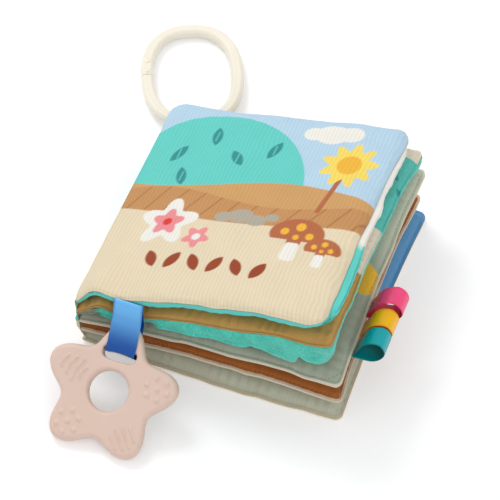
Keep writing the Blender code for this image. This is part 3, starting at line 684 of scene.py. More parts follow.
def print_front_cover(x, y):
    """Rolling hills, ploughed fields, flowers and toadstools."""
    art = Print(x, y, SKY)
    for cx, cy, size in ((126, 158, 9), (139, 160, 7), (114, 157, 6)):
        art.add(oval, WHITE, cx, cy, size * 1.3, size)
    far = art.add(disc, AQUA, 52, 92, 74)
    for cx, cy, turn in ((24, 128, 60), (46, 146, 100), (68, 128, 130), (92, 138, 70), (34, 108, 110)):
        art.add(lens, DEEP_TEAL, cx, cy, 8.5, 3.6, turn, inside=far)
        art.add(stroke, AQUA, cx, cy - 4, cx, cy + 4, 0.9, inside=far)
    art.add(hill, OCHRE, 104, 5, 190, 0.62)
    field = art.add(hill, srgb(205, 150, 95), 92, 6, 170, 0.1)
    for left in range(-20, 190, 15):
        art.add(stroke, srgb(182, 124, 74), left, 60, left + 26, 106, 1.2, inside=field)
    art.add(hill, BEIGE, 74, 5, 230, 0.35)
    for cx, cy, size in ((92, 76, 9), (104, 73, 7), (80, 74, 6.5), (114, 77, 5)):
        art.add(oval, GREY, cx, cy, size, size * 0.72)
    # A large yellow flower at the back of the fore-edge
    art.add(stroke, BROWN, 142, 88, 148, 128, 3.6)
    art.add(petals, YELLOW, 148, 132, 17, 3.4, 9, 8)
    art.add(disc, AMBER, 148, 132, 8.5)
    # Toadstools on the right, white and pink flowers on the left
    for cx, cy, size in ((136, 62, 1.0), (157, 54, 0.66)):
        art.add(slab, WHITE, cx, cy - 9 * size, 5.2 * size, 11 * size, 0, 4 * size)
        cap = art.add(oval, BROWN, cx, cy + 4 * size, 19 * size, 13 * size)
        art.add(slab, WHITE, cx, cy - 12 * size, 5.2 * size, 8 * size, 0, 3 * size)
        for side in (-13, 13):
            art.add(slab, BEIGE, cx + side * size, cy - 8 * size, 8 * size, 6 * size, 0, 0.5)
        for dx, dy, r in ((-9, 5, 3), (1, 10, 3.4), (9, 3, 2.8), (0, 1, 2.2)):
            art.add(disc, AMBER, cx + dx * size, cy + dy * size, r * size, inside=cap)
    art.add(petals, WHITE, 42, 66, 17, 4.4, 5, 90)
    art.add(petals, PINK, 42, 66, 9.5, 2.2, 5, 90)
    art.add(disc, RED, 42, 66, 3.2)
    art.add(petals, PINK, 68, 54, 8, 2.0, 5, 60)
    art.add(disc, WHITE, 68, 54, 3)
    # A row of plain leaves
    for i in range(6):
        art.add(lens, RUST, 44 + 15.5 * i, 33 - i * 0.6, 8, 3.9, 62 if i % 2 else 118)
    return art.colour


def print_cover_lining(x, y):
    art = Print(x, y, LINING)
    art.fill(y >= 0.072, WHITE)
    for i in range(5):
        art.add(petals, WHITE, 22 + 32 * i, 46 + 14 * (i % 2), 8, 2, 5, 18)
        art.add(disc, AMBER, 22 + 32 * i, 46 + 14 * (i % 2), 2.6)
        art.add(disc, AQUA, 26 + 30 * i, 130 - 12 * (i % 2), 7)
    return art.colour


def print_plush_page(x, y):
    """An ochre bank, a cream path, a teal thicket and a cream edge at the back."""
    art = Print(x, y, srgb(92, 196, 184))
    for i in range(12):
        for k in range(3):
            cx = 16 + 14.6 * i + 5 * (k % 2)
            cy = 124 + 17 * k + 4 * (i % 3)
            art.add(lens, DEEP_TEAL, cx, cy, 5.4, 2.2, 40 + 50 * ((i + k) % 3))
    for i in range(7):
        art.add(disc, NAVY, 20 + 24 * i, 119 + 5 * (i % 2), 2.4)
    art.add(hill, CREAM, 98, 2, 150)
    art.add(hill, PAGE_OCHRE, 62, 1.5, 90)
    art.fill(y > 0.163, CREAM)
    for cx, cy in ((30, 30), (70, 42), (108, 26), (142, 44)):
        art.add(oval, srgb(176, 130, 66), cx, cy, 8, 4, 20)
    return art.colour


def edged(art, x, y, colour=CREAM, width=0.0009):
    """The other cloth's edge shows as a pale line all round the seam."""
    art.cover(clamp((width - seam_distance(x, y, PAGE_CORNER_R)) / EDGE_BLUR + 0.5), colour)
    return art.colour


def print_tag_page(x, y):
    """Sage ground, stone towards the back, with yellow flowers."""
    art = Print(x, y, SAGE)
    art.cover(0.8 * clamp((y / MM - 90) / 30), STONE)
    for cx, cy in ((164, 79), (112, 96), (60, 74), (128, 52)):
        art.add(petals, AMBER, cx, cy, 12, 0.9, 5, 20)
        art.add(disc, BROWN, cx - 1, cy - 2, 2.2)
    return edged(art, x, y)


def print_plain_page(x, y):
    art = Print(x, y, PAGE_BROWN)
    for i in range(4):
        for k in range(4):
            art.add(slab, srgb(182, 118, 60), 28 + 38 * i, 30 + 38 * k, 9, 9, 12 * (i - k), 3)
    return edged(art, x, y, srgb(224, 206, 178), 0.0016)


def print_back_lining(x, y):
    """A blue field behind a sage one, with the pale edge only in front."""
    art = Print(x, y, PAGE_BLUE)
    for i in range(5):
        art.add(oval, srgb(110, 156, 190), 18 + 34 * i, 146 + 8 * (i % 2), 9, 4)
    art.add(hill, PALE_SAGE, 88, 1.5, 120)
    for i in range(6):
        art.add(petals, srgb(168, 168, 146), 20 + 27 * i, 52 + 22 * (i % 2), 7, 1.6, 6)
    unedged = art.colour.copy()
    edged(art, x, y, srgb(205, 190, 160))
    return art.fill(y >= 0.088, unedged)


def print_back_cover(x, y):
    art = Print(x, y, BEIGE)
    for i in range(7):
        for k in range(7):
            art.add(disc, OCHRE, 16 + 24 * i + 12 * (k % 2), 16 + 24 * k, 2.6)
    return art.colour


def plain(colour):
    return lambda x, y: edged(Print(x, y, colour), x, y)


def plush_paint(x, y):
    """Turquoise pile, its grey backing bare at the spine."""
    return Print(x, y, srgb(84, 208, 188)).fill(x < 0.017, srgb(128, 132, 118))


# Meshes


def new_object(name, data):
    thing = bpy.data.objects.new(name, data)
    bpy.context.scene.collection.objects.link(thing)
    return thing


def new_mesh(name, points, faces):
    mesh = bpy.data.meshes.new(name)
    mesh.from_pydata(np.asarray(points).tolist(), [], faces)
    return mesh


def add_piece(name, mesh, body, material, replaced=None):
    """A piece that rides on a body, or on none when no body is given."""
    piece = new_object(name, mesh)
    piece.data.materials.append(material)
    if body:
        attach(piece, body)
    if replaced:
        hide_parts(replaced)
    return piece


def face_out(mesh, sharp=50.0):
    shape = bmesh.new()
    shape.from_mesh(mesh)
    bmesh.ops.recalc_face_normals(shape, faces=shape.faces)
    shape.to_mesh(mesh)
    shape.free()
    mesh.shade_smooth()
    mesh.set_sharp_from_angle(angle=radians(sharp))


def tube_faces(rows, count, start=0):
    """Faces of a tube through rings of points, with its two ends."""
    index = start + np.arange(rows * count).reshape(rows, count)
    after = np.roll(index, -1, axis=1)
    sides = np.stack((index[:-1], after[:-1], after[1:], index[1:]), axis=-1).reshape(-1, 4)
    return sides.tolist() + [index[0, ::-1].tolist(), index[-1].tolist()]


def set_points(mesh, name, values, kind="FLOAT_VECTOR"):
    """Stores one value for each point of a mesh."""
    attribute = mesh.attributes.new(name, kind, "POINT")
    key = {"FLOAT_VECTOR": "vector", "FLOAT_COLOR": "color", "FLOAT": "value"}[kind]
    attribute.data.foreach_set(key, np.ascontiguousarray(values, dtype=np.float32).ravel())


def set_weave(mesh, x, y):
    """Where each point lies on the flat cloth, for its threads."""
    set_points(mesh, "weave", np.stack((x, y, np.zeros_like(x)), axis=-1))


def set_paint(mesh, colour):
    set_points(mesh, "paint", np.concatenate((colour, np.ones((len(colour), 1))), axis=1), "FLOAT_COLOR")


def runs_along(path):
    """Length along a path to each of its points."""
    return np.concatenate(([0], np.cumsum(np.hypot(*np.diff(path, axis=0).T))))


def ways_along(path):
    """Unit vectors along a path at its points."""
    ahead = np.gradient(path, axis=0)
    return ahead / np.linalg.norm(ahead, axis=1, keepdims=True)


def grid_faces(rows, columns, start, flip):
    index = np.arange(rows * columns).reshape(rows, columns) + start
    corners = [index[:-1, :-1], index[1:, :-1], index[1:, 1:], index[:-1, 1:]]
    if flip:
        corners.reverse()
    return np.stack(corners, axis=-1).reshape(-1, 4).tolist()


def loop_round(rows, columns, start):
    index = np.arange(rows * columns).reshape(rows, columns) + start
    sides = (index[0, :-1], index[:-1, -1], index[-1, :0:-1], index[:0:-1, 0])
    return np.concatenate(sides).tolist()


def shell_mesh(name, outer, inner, flip):
    """A closed shell between two grids of points, of which the inner one is coarser by a whole number."""
    rows, columns = outer.shape[:2]
    rows_in, columns_in = inner.shape[:2]
    start = rows * columns
    faces = grid_faces(rows, columns, 0, flip) + grid_faces(rows_in, columns_in, start, not flip)
    fine = loop_round(rows, columns, 0)
    coarse = loop_round(rows_in, columns_in, start)
    step = len(fine) // len(coarse)
    fine.append(fine[0])
    coarse.append(coarse[0])
    for i in range(len(coarse) - 1):
        face = [coarse[i]] + fine[i * step: (i + 1) * step + 1] + [coarse[i + 1]]
        faces.append(face[::-1] if flip else face)
    mesh = new_mesh(name, np.concatenate((outer.reshape(-1, 3), inner.reshape(-1, 3))), faces)
    face_out(mesh)
    return mesh


def gathers(x, y, depth, pitch, reach, seed):
    """Small gathers square to the three seams, which die out towards the middle."""
    total = np.zeros_like(x)
    sides = ((LEAF_W - x, y, 0), (y, x, 1), (LEAF_L - y, x, 2))
    for away, along, which in sides:
        wander = 2.5 * noise(along, np.zeros_like(along), GATHER_WANDER, seed + which)
        strength = 0.55 + 0.45 * noise(along, np.ones_like(along), GATHER_CELL, seed + 7 + which)
        fade = np.exp(-away / reach) * smooth((away - GATHER_FROM) / GATHER_RUN)
        total += strength * fade * np.sin(2 * pi * along / pitch + wander)
    return depth * total


def soft_folds(x, y, depth, cell, seed):
    """Long shallow unevenness of the stuffed cloth."""
    share = smooth((seam_distance(x, y) - SEAM_FLANGE) / FOLD_RUN) * smooth(x / SPINE_CALM)
    return depth * share * (noise(x, y * 0.7, cell, seed) + 0.5 * noise(x, y, cell * 0.45, seed + 1))


def flare(y):
    """How far the spine's front end puffs out behind the leaves, which dies out along the spine."""
    return 1 - smooth((y - FLARE_FROM) / FLARE_RUN)


def nose(away):
    """How far a page's spine end is open at this distance from where it closes."""
    return np.sqrt(1 - 0.9 * clamp(1 - away / NOSE_RUN) ** 2)


def add_cloth(leaf, side, suffix, slot, material, paint, relief, form):
    """One of a leaf's cloths: a closed shell with its print, over the same swell as its solid.

    Its form may give its grid (cells, crowd), how its edge rises (reach, flange), a bulge past the seams
    (bulge, fade, notch), a sag (hang), and whether its spine end closes (nosed).
    """
    name = leaf.name + "_" + suffix
    thick = PLUSH if leaf.plush and side < 0 else CLOTH
    x, y = leaf_grid(form.get("cells", 240 if side > 0 else 180), leaf.corner, form.get("crowd", 0.5))
    closed = np.ones_like(x)
    if form.get("nosed", True):
        closed = nose(x - LEAF_START)
        x = x + (NOSE_X - LEAF_START) * flare(y) * (1 - smooth((x - LEAF_START) / NOSE_BLEND))
    reach, flange = form.get("reach", CLOTH_REACH), form.get("flange", SEAM_FLANGE)
    bulge_x, bulge_y = form.get("bulge", (0.0, 0.0))

    def grid(u, v, skin, closed):
        depth = (leaf.swell(u, v, side, reach, flange) + skin) * closed
        away, out_x, out_y = outward(u, v, BULGE_REACH)
        run = clamp(away / BULGE_REACH)
        share = (1 - run) ** 1.5 * smooth(run / 0.15) * smooth(u / SPINE_CALM)
        share = share * (1 + 0.3 * noise(u, v, BULGE_CELL, leaf.seed))
        share = share * (1 - form.get("fade", 0.0) * smooth((v - BULGE_FADE[0]) / BULGE_FADE[1]))
        if "notch" in form:
            share = share * (1 - np.exp(-(((u - form["notch"]) / NOTCH_HALF_W) ** 6)))
        if "hang" in form:
            depth = depth + form["hang"](u, v) * smooth(run / 0.2) * (1 - smooth((run - 0.5) / 0.5))
        height = leaf.middle(u, v) + side * depth
        return leaf.place(u + bulge_x * share * out_x, v + bulge_y * share * out_y, height)

    outer = grid(x, y, thick + np.maximum(relief(x, y), GAP - thick), closed)
    in_x, in_y = x[::COARSER, ::COARSER], y[::COARSER, ::COARSER]
    sunk = np.minimum(0, relief(in_x, in_y)) if bulge_x or bulge_y else 0.0
    inner = grid(in_x, in_y, sunk, closed[::COARSER, ::COARSER])
    mesh = shell_mesh(name, outer, inner, side < 0)
    all_x = np.concatenate((x.ravel(), in_x.ravel()))
    all_y = np.concatenate((y.ravel(), in_y.ravel()))
    set_weave(mesh, all_x, all_y)
    set_paint(mesh, paint(all_x, all_y))
    piece = add_piece(name + "_sewn", mesh, leaf.name, material, name)


def add_inner(leaf, suffix, material, low, high):
    """A pad or a film, inset from the seams, between two heights above the leaf's middle."""
    grid_x, grid_y = leaf_grid(INNER_CELLS)
    x = SPINE_CLOTH + 4 * GAP + (grid_x - SPINE_CLOTH) * (1 - 6 * SEAM_FLANGE / LEAF_W) + SEAM_FLANGE
    y = LEAF_L / 2 + (grid_y - LEAF_L / 2) * (1 - 5 * SEAM_FLANGE / LEAF_W)
    middle = leaf.middle(x, y)
    top = leaf.place(x, y, middle + high(x, y))
    bottom = leaf.place(x, y, middle + low(x, y))
    name = leaf.name + suffix
    return add_piece(name + "_inside", shell_mesh(name, top, bottom, False), leaf.name, material, name)


def spine_path(leaves, puffs):
    """The spine cloth's outside, as points in x and z, and which of them stand beside a leaf's middle."""
    spots, marks = [], []
    for i, (leaf, out) in enumerate(zip(leaves, puffs)):
        if i:
            fold_out = (puffs[i - 1] + out) / 2
            spots.append(leaf.foot - fold_out * (leaves[i - 1].along + leaf.along) / 2)
        spots.append(leaf.foot + leaf.up * SPINE_STEP / 2 - leaf.along * out)
        marks.append(SPINE_STEPS * len(spots))
    spots.append(leaf.foot + leaf.up * (SPINE_STEP - GAP / 2) + leaf.along * SPINE_TIP)
    points = np.array([(SPINE_TOE, 0.0)] + [(spot[0], spot[2]) for spot in spots])
    last = len(points) - 1
    path = []
    for t in np.linspace(0, last, last * SPINE_STEPS + 1):
        i = min(int(t), last - 1)
        u = t - i
        a, b, c, d = points[max(i - 1, 0)], points[i], points[i + 1], points[min(i + 2, last)]
        bent = 2 * b + (c - a) * u + (2 * a - 5 * b + 4 * c - d) * u**2 + (3 * b - a - 3 * c + d) * u**3
        path.append(0.5 * bent)
    return np.array(path), marks


def add_spine_cloth(leaves, material):
    """The cover cloth round the backs of the leaves, flared at its front end: one stretch for each fold."""
    path, marks = spine_path(leaves, SPINE_PUFFS)
    flared = spine_path(leaves, SPINE_FLARES)[0] - path
    ahead = ways_along(path)
    normal = np.stack((ahead[:, 1], -ahead[:, 0]), axis=-1)
    runs = runs_along(path)
    ends = [0] + marks[1:] + [len(path) - 1]
    for i, leaf in enumerate(leaves):
        rows = slice(ends[i], ends[i + 1] + 1)
        run = runs[rows][:, None]
        rise = run / runs[-1]
        back_end = LEAF_L - SPINE_MARGIN - COVER_BACK_CORNER_R * 0.75 * smooth((rise - 0.72) / 0.28)
        y = SPINE_MARGIN + (back_end - SPINE_MARGIN) * np.linspace(0, 1, SPINE_COLUMNS)
        close = smooth(np.minimum(y - SPINE_MARGIN, back_end - y) / SPINE_TUCK_RUN)
        pucker = SPINE_PUCKER * noise(y, run * 0.7, PUCKER_CELL, 31)
        pucker = pucker * smooth(np.minimum(rise, 1 - rise) / 0.08) - SPINE_TUCK * (1 - close)

        def grid(depth, rows=rows, y=y):
            flat = path[rows, None] + flared[rows, None] * flare(y)[..., None]
            flat = flat + normal[rows, None] * depth[..., None]
            return np.stack((flat[..., 0], y, np.maximum(0, flat[..., 1])), axis=-1) + SHIFT

        room = np.hypot(*flared[rows].T)[:, None] - SPINE_CLOTH - (LEAF_START - NOSE_X) * 0.6
        inner = grid(SPINE_CLOTH * 0.8 + clamp(room, 0, SPINE_HEM) * (1 - close) * flare(y))
        name = leaf.name + "_spine_cloth"
        mesh = shell_mesh(name, grid(-pucker), inner, False)
        all_y = np.tile(y.ravel(), 2)
        all_z = np.tile((run * np.ones_like(y)).ravel(), 2)
        set_weave(mesh, all_z, all_y)
        colour = print_front_cover(np.full_like(all_y, 0.002), all_y)
        low, high = HEM_SPAN
        hem = (all_y < HEM_DEPTH) & (all_z > low * runs[-1]) & (all_z < high * runs[-1])
        colour[hem] = LINING
        set_paint(mesh, colour)
        top = leaf is leaves[-1]
        piece = add_piece(name + "_fold", mesh, leaf.name if top else None, material, name)
        if not top:
            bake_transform(piece)


def page_relief(seed, form=PAGE_GATHERS):
    def relief(x, y):
        return gathers(x, y, *form, seed) + soft_folds(x, y, *PAGE_FOLDS, seed + 2)
    return relief


def flat_relief(x, y):
    return np.zeros_like(x)


def cover_relief(x, y):
    half_w, reach = RIBBON_CALM
    beside_ribbon = 1 - np.exp(-(((x - HANGER_RIBBON_X) / half_w) ** 4)) * (1 - smooth(y / reach))
    return gathers(x, y, *COVER_GATHERS, 3) * beside_ribbon + soft_folds(x, y, *COVER_FOLDS, 5)


def pile_relief(x, y):
    tuft = sum(depth * noise(x, y, width, seed) for depth, width, seed in TUFTS)
    return tuft + gathers(x, y, *PLUSH_GATHERS, 61) + soft_folds(x, y, *PLUSH_FOLDS, 63)


def plush_hang(x, y):
    """How far the plush sags along its front edge, in scallops between creases."""
    def risen(value, start, run):
        return smooth((value - start) / run)

    scallop = 1 + 0.25 * np.sin(2 * pi * x / SCALLOP_PITCH + 0.9) * risen(x, *SCALLOP_START)
    for crease in PLUSH_CREASES:
        scallop = scallop * (1 - 0.55 * np.exp(-(((x - crease) / CREASE_HALF_W) ** 2)))
    fall = SAG_LEAST + sum(depth * risen(x, start, run) for depth, start, run in SAGS)
    return fall * (1 - risen(y, *SAG_EDGE)) * scallop


def add_leaves(leaves):
    cotton = cloth_material("printed_cotton")
    page = cloth_material("page_cotton", watered=0.03)
    pile = plush_material()
    white, silver = srgb(240, 240, 238), srgb(228, 232, 236)
    wadding = inner_material("polyester_wadding", white, 700.0, (0.9, 1.05), (0.95, 0.95), (0.0006, 0.7))
    film = inner_material("crinkle_film", silver, 90.0, (0.94, 1.04), (0.15, 0.3), (0.0008, 0.8))
    thin = {"reach": 0.010, "flange": 0.0012}
    full = {"reach": 0.0062, "flange": 0.0006, "bulge": (-0.0060, 0.0066), "hang": plush_hang}
    cover = {"flange": 0.0004, "crowd": 0.3, "nosed": False, "cells": 288}
    lining = {"reach": 0.0055, "flange": 0.0004, "bulge": (0.0088, 0.0030), "fade": 0.35, "nosed": False}
    cloths = {
        "back_cover": (
            ("lining", "sage_cloth", page, print_back_lining, page_relief(11), {"reach": 0.014}),
            ("cloth", "print_cloth", cotton, print_back_cover, flat_relief, {**thin, "reach": 0.014}),
        ),
        "plain_page": (
            ("upper_cloth", "brown_cloth", page, print_plain_page, page_relief(21), {}),
            ("lower_cloth", "pale_cloth", page, plain(PALE_SAGE), page_relief(25), {}),
        ),
        "tag_page": (
            ("upper_cloth", "sage_cloth", page, print_tag_page, page_relief(33), {}),
            ("lower_cloth", "brown_cloth", page, plain(PAGE_BROWN), page_relief(37), {}),
        ),
        "plush_page": (
            ("cloth", "ochre_cloth", page, print_plush_page, page_relief(41, OCHRE_GATHERS), thin),
            ("plush", "plush", pile, plush_paint, pile_relief, {**full, "notch": HANGER_RIBBON_X}),
        ),
        "front_cover": (
            ("cloth", "print_cloth", cotton, print_front_cover, cover_relief, cover),
            ("lining", "lining_cloth", page, print_cover_lining, page_relief(51), lining),
        ),
    }
    for leaf in leaves:
        for side, cloth in zip((1, -1), cloths[leaf.name]):
            add_cloth(leaf, side, *cloth)

        def level(side, room, leaf=leaf):
            return lambda x, y: side * (leaf.swell(x, y, side) - room)

        filmed = leaf.name in ("plain_page", "tag_page")
        above = 2 * GAP + FILM if filmed else GAP
        pad = add_inner(leaf, "_padding", wadding, level(-1, GAP), level(1, above))
        if filmed:
            add_inner(leaf, "_crinkle_film", film, level(1, GAP + FILM), level(1, GAP))
    add_spine_cloth(leaves, cotton)


# Ribbons


def rounded_path(points, radii, steps):
    """An open path through 2D points, whose inner corners are arcs of the given radii."""
    path = [Vector(points[0])]
    for before, corner, after, radius in zip(points, points[1:], points[2:], radii):
        corner = Vector(corner)
        back = (Vector(before) - corner).normalized()
        ahead = (Vector(after) - corner).normalized()
        half = back.angle(ahead) / 2
        run = radius / tan(half)
        centre = corner + (back + ahead).normalized() * (radius / sin(half))
        start = corner + back * run - centre
        turn = start.angle_signed(corner + ahead * run - centre)
        for i in range(steps + 1):
            path.append(centre + Matrix.Rotation(-turn * i / steps, 2) @ start)
    path.append(Vector(points[-1]))
    return path


def tucked(path):
    """The path with its ends turned in round the seam line."""
    half = SEAM_HALF
    tuck = []
    for i in range(3):
        angle = radians(60) * (1 - i / 3)
        tuck.append(Vector((-half * sin(angle), half * cos(angle))))
    return tuck + path + [Vector((spot.x, -spot.y)) for spot in reversed(tuck)]


def evenly(path, step, soften=0.0):
    """The same path with points about one step apart, its bends eased over a length."""
    spots = np.array([(p.x, p.y) for p in path])
    runs = runs_along(spots)
    at = np.linspace(0, runs[-1], int(ceil(runs[-1] / step)) + 1)
    even = np.stack((np.interp(at, runs, spots[:, 0]), np.interp(at, runs, spots[:, 1])), axis=-1)
    for _ in range(int(3 * (soften / step) ** 2)):
        even[1:-1] = even[1:-1] / 2 + (even[:-2] + even[2:]) / 4
    return even, at


def loop_path(near, far, top, bottom, bend):
    """A loop that leaves the seam, runs round between two reaches and two heights, and comes back."""
    lie = [(0, SEAM_HALF), (near, top), (far, top), (far, bottom), (near, bottom), (0, -SEAM_HALF)]
    return rounded_path(lie, (bend / 2, bend, bend, bend / 2), 12)


def add_ribbon(name, body, slot, satin, path, width, to_world,
               relief=None, columns=24, soften=0.0005, painted_shading=None):
    """A satin ribbon whose middle follows a 2D path; to_world takes path x, path y and the place across."""
    spots, at = evenly(tucked(path), RIBBON_STEP, soften)
    ahead = ways_along(spots)
    normal = np.stack((-ahead[:, 1], ahead[:, 0]), axis=-1)
    run, shares = np.meshgrid(at, np.linspace(-1, 1, columns + 1), indexing="ij")
    wave = relief(run, shares, at[-1]) if relief else 0.0
    fallen = np.maximum(0, (np.abs(shares) - SELVEDGE_FROM) / (1 - SELVEDGE_FROM))
    selvedge = SATIN / 2 * np.sqrt(np.maximum(0.05, 1 - fallen**2))

    def face(sign):
        flat = spots[:, None] + normal[:, None] * (wave + sign * selvedge)[..., None]
        return to_world(flat[..., 0], flat[..., 1], shares * width / 2)

    mesh = shell_mesh(name, face(1), face(-1), False)
    along = np.tile(run.ravel(), 2)
    sideways = np.tile(shares.ravel(), 2)
    set_weave(mesh, along, sideways * width / 2)
    # Darker along both edges; painted_shading adds painted highlight and shade along the ribbon, kept with
    # it in "edge"
    shade = 0.6 * smooth((np.abs(sideways) - 0.86) / 0.1)
    if painted_shading:
        shade = np.maximum(shade, painted_shading(along / at[-1]))
    set_points(mesh, "edge", shade, "FLOAT")
    piece = add_piece(name + "_satin", mesh, body, satin, name)


def teether_axes():
    lean = radians(TEETHER_LEAN)
    return Vector((0, cos(lean), sin(lean))), Vector((0, -sin(lean), cos(lean)))


def teether_centre():
    lean = radians(TEETHER_LEAN)
    angles = [2 * pi * i / 60 for i in range(60)]
    low_arm = max(-teether_reach(angle) * cos(angle) for angle in angles) - TEETHER_EDGE_R
    flat = TEETHER_HALF_T - TEETHER_EDGE_R
    height = low_arm * sin(lean) + flat * cos(lean) + TEETHER_EDGE_R + GAP
    return Vector((TEETHER_X, TEETHER_Y, height))


def add_teether_ribbon(cover):
    """Leaves the cover's front seam, lies over the slotted arm and turns back through the slot."""
    seam = cover.off_seam(HANGER_RIBBON_X, 0, HANGER_RIBBON_W / 2, 0, (0, -1, 0))
    up, out = teether_axes()
    away = teether_centre() - seam
    clear = TEETHER_HALF_T + GAP + SATIN / 2

    def beside(reach, side):
        spot = away + up * reach + out * side
        return (-spot.y, spot.z)

    tip = TEETHER_MEAN_R + TEETHER_ARM
    slot = TEETHER_SLOT_TOP - TEETHER_SLACK - SATIN / 2
    lie = [
        (0, SEAM_HALF),
        (HANGER_STUB, SEAM_HALF),
        beside(tip + 2 * GAP, clear),
        beside(slot, clear),
        beside(slot, -clear),
        beside(tip + 2 * GAP, -clear - HANGER_ROOM),
        (HANGER_STUB, -SEAM_HALF),
        (0, -SEAM_HALF),
    ]
    bends = (2 * SATIN, 2 * TEETHER_EDGE_R, SATIN + GAP, SATIN + GAP, TEETHER_EDGE_R, SATIN)
    path = rounded_path(lie, bends, 10)
    run = beside(slot, -clear)[0]
    middle = (Vector(beside(slot, clear)) + Vector(beside(slot, -clear))) / 2

    def to_world(x, y, across):
        lean_x = (TEETHER_X - seam.x) * clamp(x / run)
        near = np.exp(-(((x - middle.x) ** 2 + (y - middle.y) ** 2) / HANGER_SAG_REACH**2))
        sag = HANGER_SAG * (1 - (2 * across / HANGER_RIBBON_W) ** 2) * near
        spots = (seam.x + lean_x + across, seam.y - x + sag * up.y, seam.z + y + sag * up.z)
        return np.stack(spots, axis=-1) + SHIFT

    def relief(s, share, whole):
        front = np.exp(-((s / whole - 0.26) / 0.16) ** 2)
        crease = HANGER_CREASE * noise(s, share * 0.01, 0.004, 81)
        return (HANGER_BOW * np.cos(pi * share / 2) + crease) * front

    # Painted highlight and shade: light blue where the ribbon leaves the seam and bends over the cover's
    # edge, fading to dark blue further down and beneath
    def painted_shading(share):
        return smooth((share - 0.03) / 0.34)

    # The light blue is a painted highlight and the deep blue is painted shade
    satin = satin_material("blue_satin_ribbon", srgb(112, 190, 250), srgb(14, 78, 160))
    names = ("teether_ribbon", "hanger", "blue_satin")
    add_ribbon(*names, satin, path, HANGER_RIBBON_W, to_world, relief, 26, painted_shading=painted_shading)


def add_tags(page):
    """Three satin loops sewn side by side into the page's fore-edge seam."""
    lift = radians(TAG_LIFT + TAG_EXTRA_LIFT)
    along, rise = Vector(page.along), Vector(page.up)
    way = along * cos(lift) + rise * sin(lift)
    up = rise * cos(lift) - along * sin(lift)
    top = TAG_HALF_HEIGHT + TAG_EXTRA_HEIGHT
    # Each loop's satin colour and a darker colour for painted shade
    colours = {
        "teal": (srgb(6, 172, 178), srgb(0, 112, 116)),
        "yellow": (srgb(252, 190, 8), srgb(226, 134, 0)),
        "pink": (srgb(252, 78, 132), srgb(196, 8, 58)),
    }

    # Painted shade: darkest where the loop leaves the seam, light over its top, and mostly dark along its
    # underside
    def painted_shading(share):
        return 1 - smooth((share - 0.07) / 0.18) * (1 - 0.7 * smooth((share - 0.5) / 0.1))

    for i, (colour, colour_and_shade) in enumerate(colours.items()):
        seam = page.off_seam(LEAF_W, TAG_FIRST_Y + TAG_PITCH * i - TAG_ASLANT, 0, TAG_W / 2, along)
        reach = TAG_REACH + TAG_EXTRA_REACH[i]
        path = loop_path(TAG_SWELL_FROM, reach, top, -TAG_HALF_HEIGHT, TAG_HALF_HEIGHT - SATIN / 2)

        def to_world(x, z, across, seam=seam):
            spots = np.array(seam) + SHIFT + x[..., None] * np.array(way) + z[..., None] * np.array(up)
            spots[..., 1] += across + TAG_ASLANT * clamp(x / TAG_REACH)
            return spots

        def relief(s, share, whole, seed=90 + i):
            middle = np.sin(pi * s / whole) ** 2
            return TAG_CREASE * noise(s, share * 0.008, 0.006, seed) * middle

        satin = satin_material(colour + "_satin_tag", *colour_and_shade)
        names = (colour + "_tag_loop", colour + "_tag", colour + "_satin")
        add_ribbon(*names, satin, path, TAG_SATIN_W, to_world, relief, soften=0.0018, painted_shading=painted_shading)


# Teether


def teether_reach(angle):
    """Radius of the teether's outline, angle measured from the slotted arm."""
    return TEETHER_MEAN_R + TEETHER_ARM * np.cos(5 * angle)


def arm_spot(arm, out, across):
    angle = pi / 2 - 2 * pi * arm / 5
    return out * cos(angle) - across * sin(angle), out * sin(angle) + across * cos(angle)


def mound(share):
    return 0.5 + 0.5 * np.cos(pi * clamp(share))


def texture_rise(p, q):
    """Height of the moulded domes and ridges over the teether's faces."""
    rise = np.zeros_like(p)
    for arm in (1, 3):
        for out, row in DOME_ROWS:
            for across in row:
                away = disc(p, q, *arm_spot(arm, out, across), 0)
                rise = np.maximum(rise, DOME_RISE * mound(away / DOME_FOOT_R) ** 0.75)
    ridges = [(2, (near, across), (far, across)) for near, far, across in LONG_RIDGES]
    for out, half in CROSS_RIDGES:
        ridges += [(4, (out - RIDGE_BOW, side * half), (out, 0.0)) for side in (-1, 1)]
    for arm, start, end in ridges:
        away = stroke(p, q, *arm_spot(arm, *start), *arm_spot(arm, *end), 0)
        rise = np.maximum(rise, RIDGE_RISE * mound(away / RIDGE_FOOT))
    return rise


def quarter(distance, radius):
    """How far a rounded edge has fallen at this distance inside it."""
    d = clamp(distance, 0, radius)
    return radius - np.sqrt(np.maximum(0, radius**2 - (radius - d) ** 2))


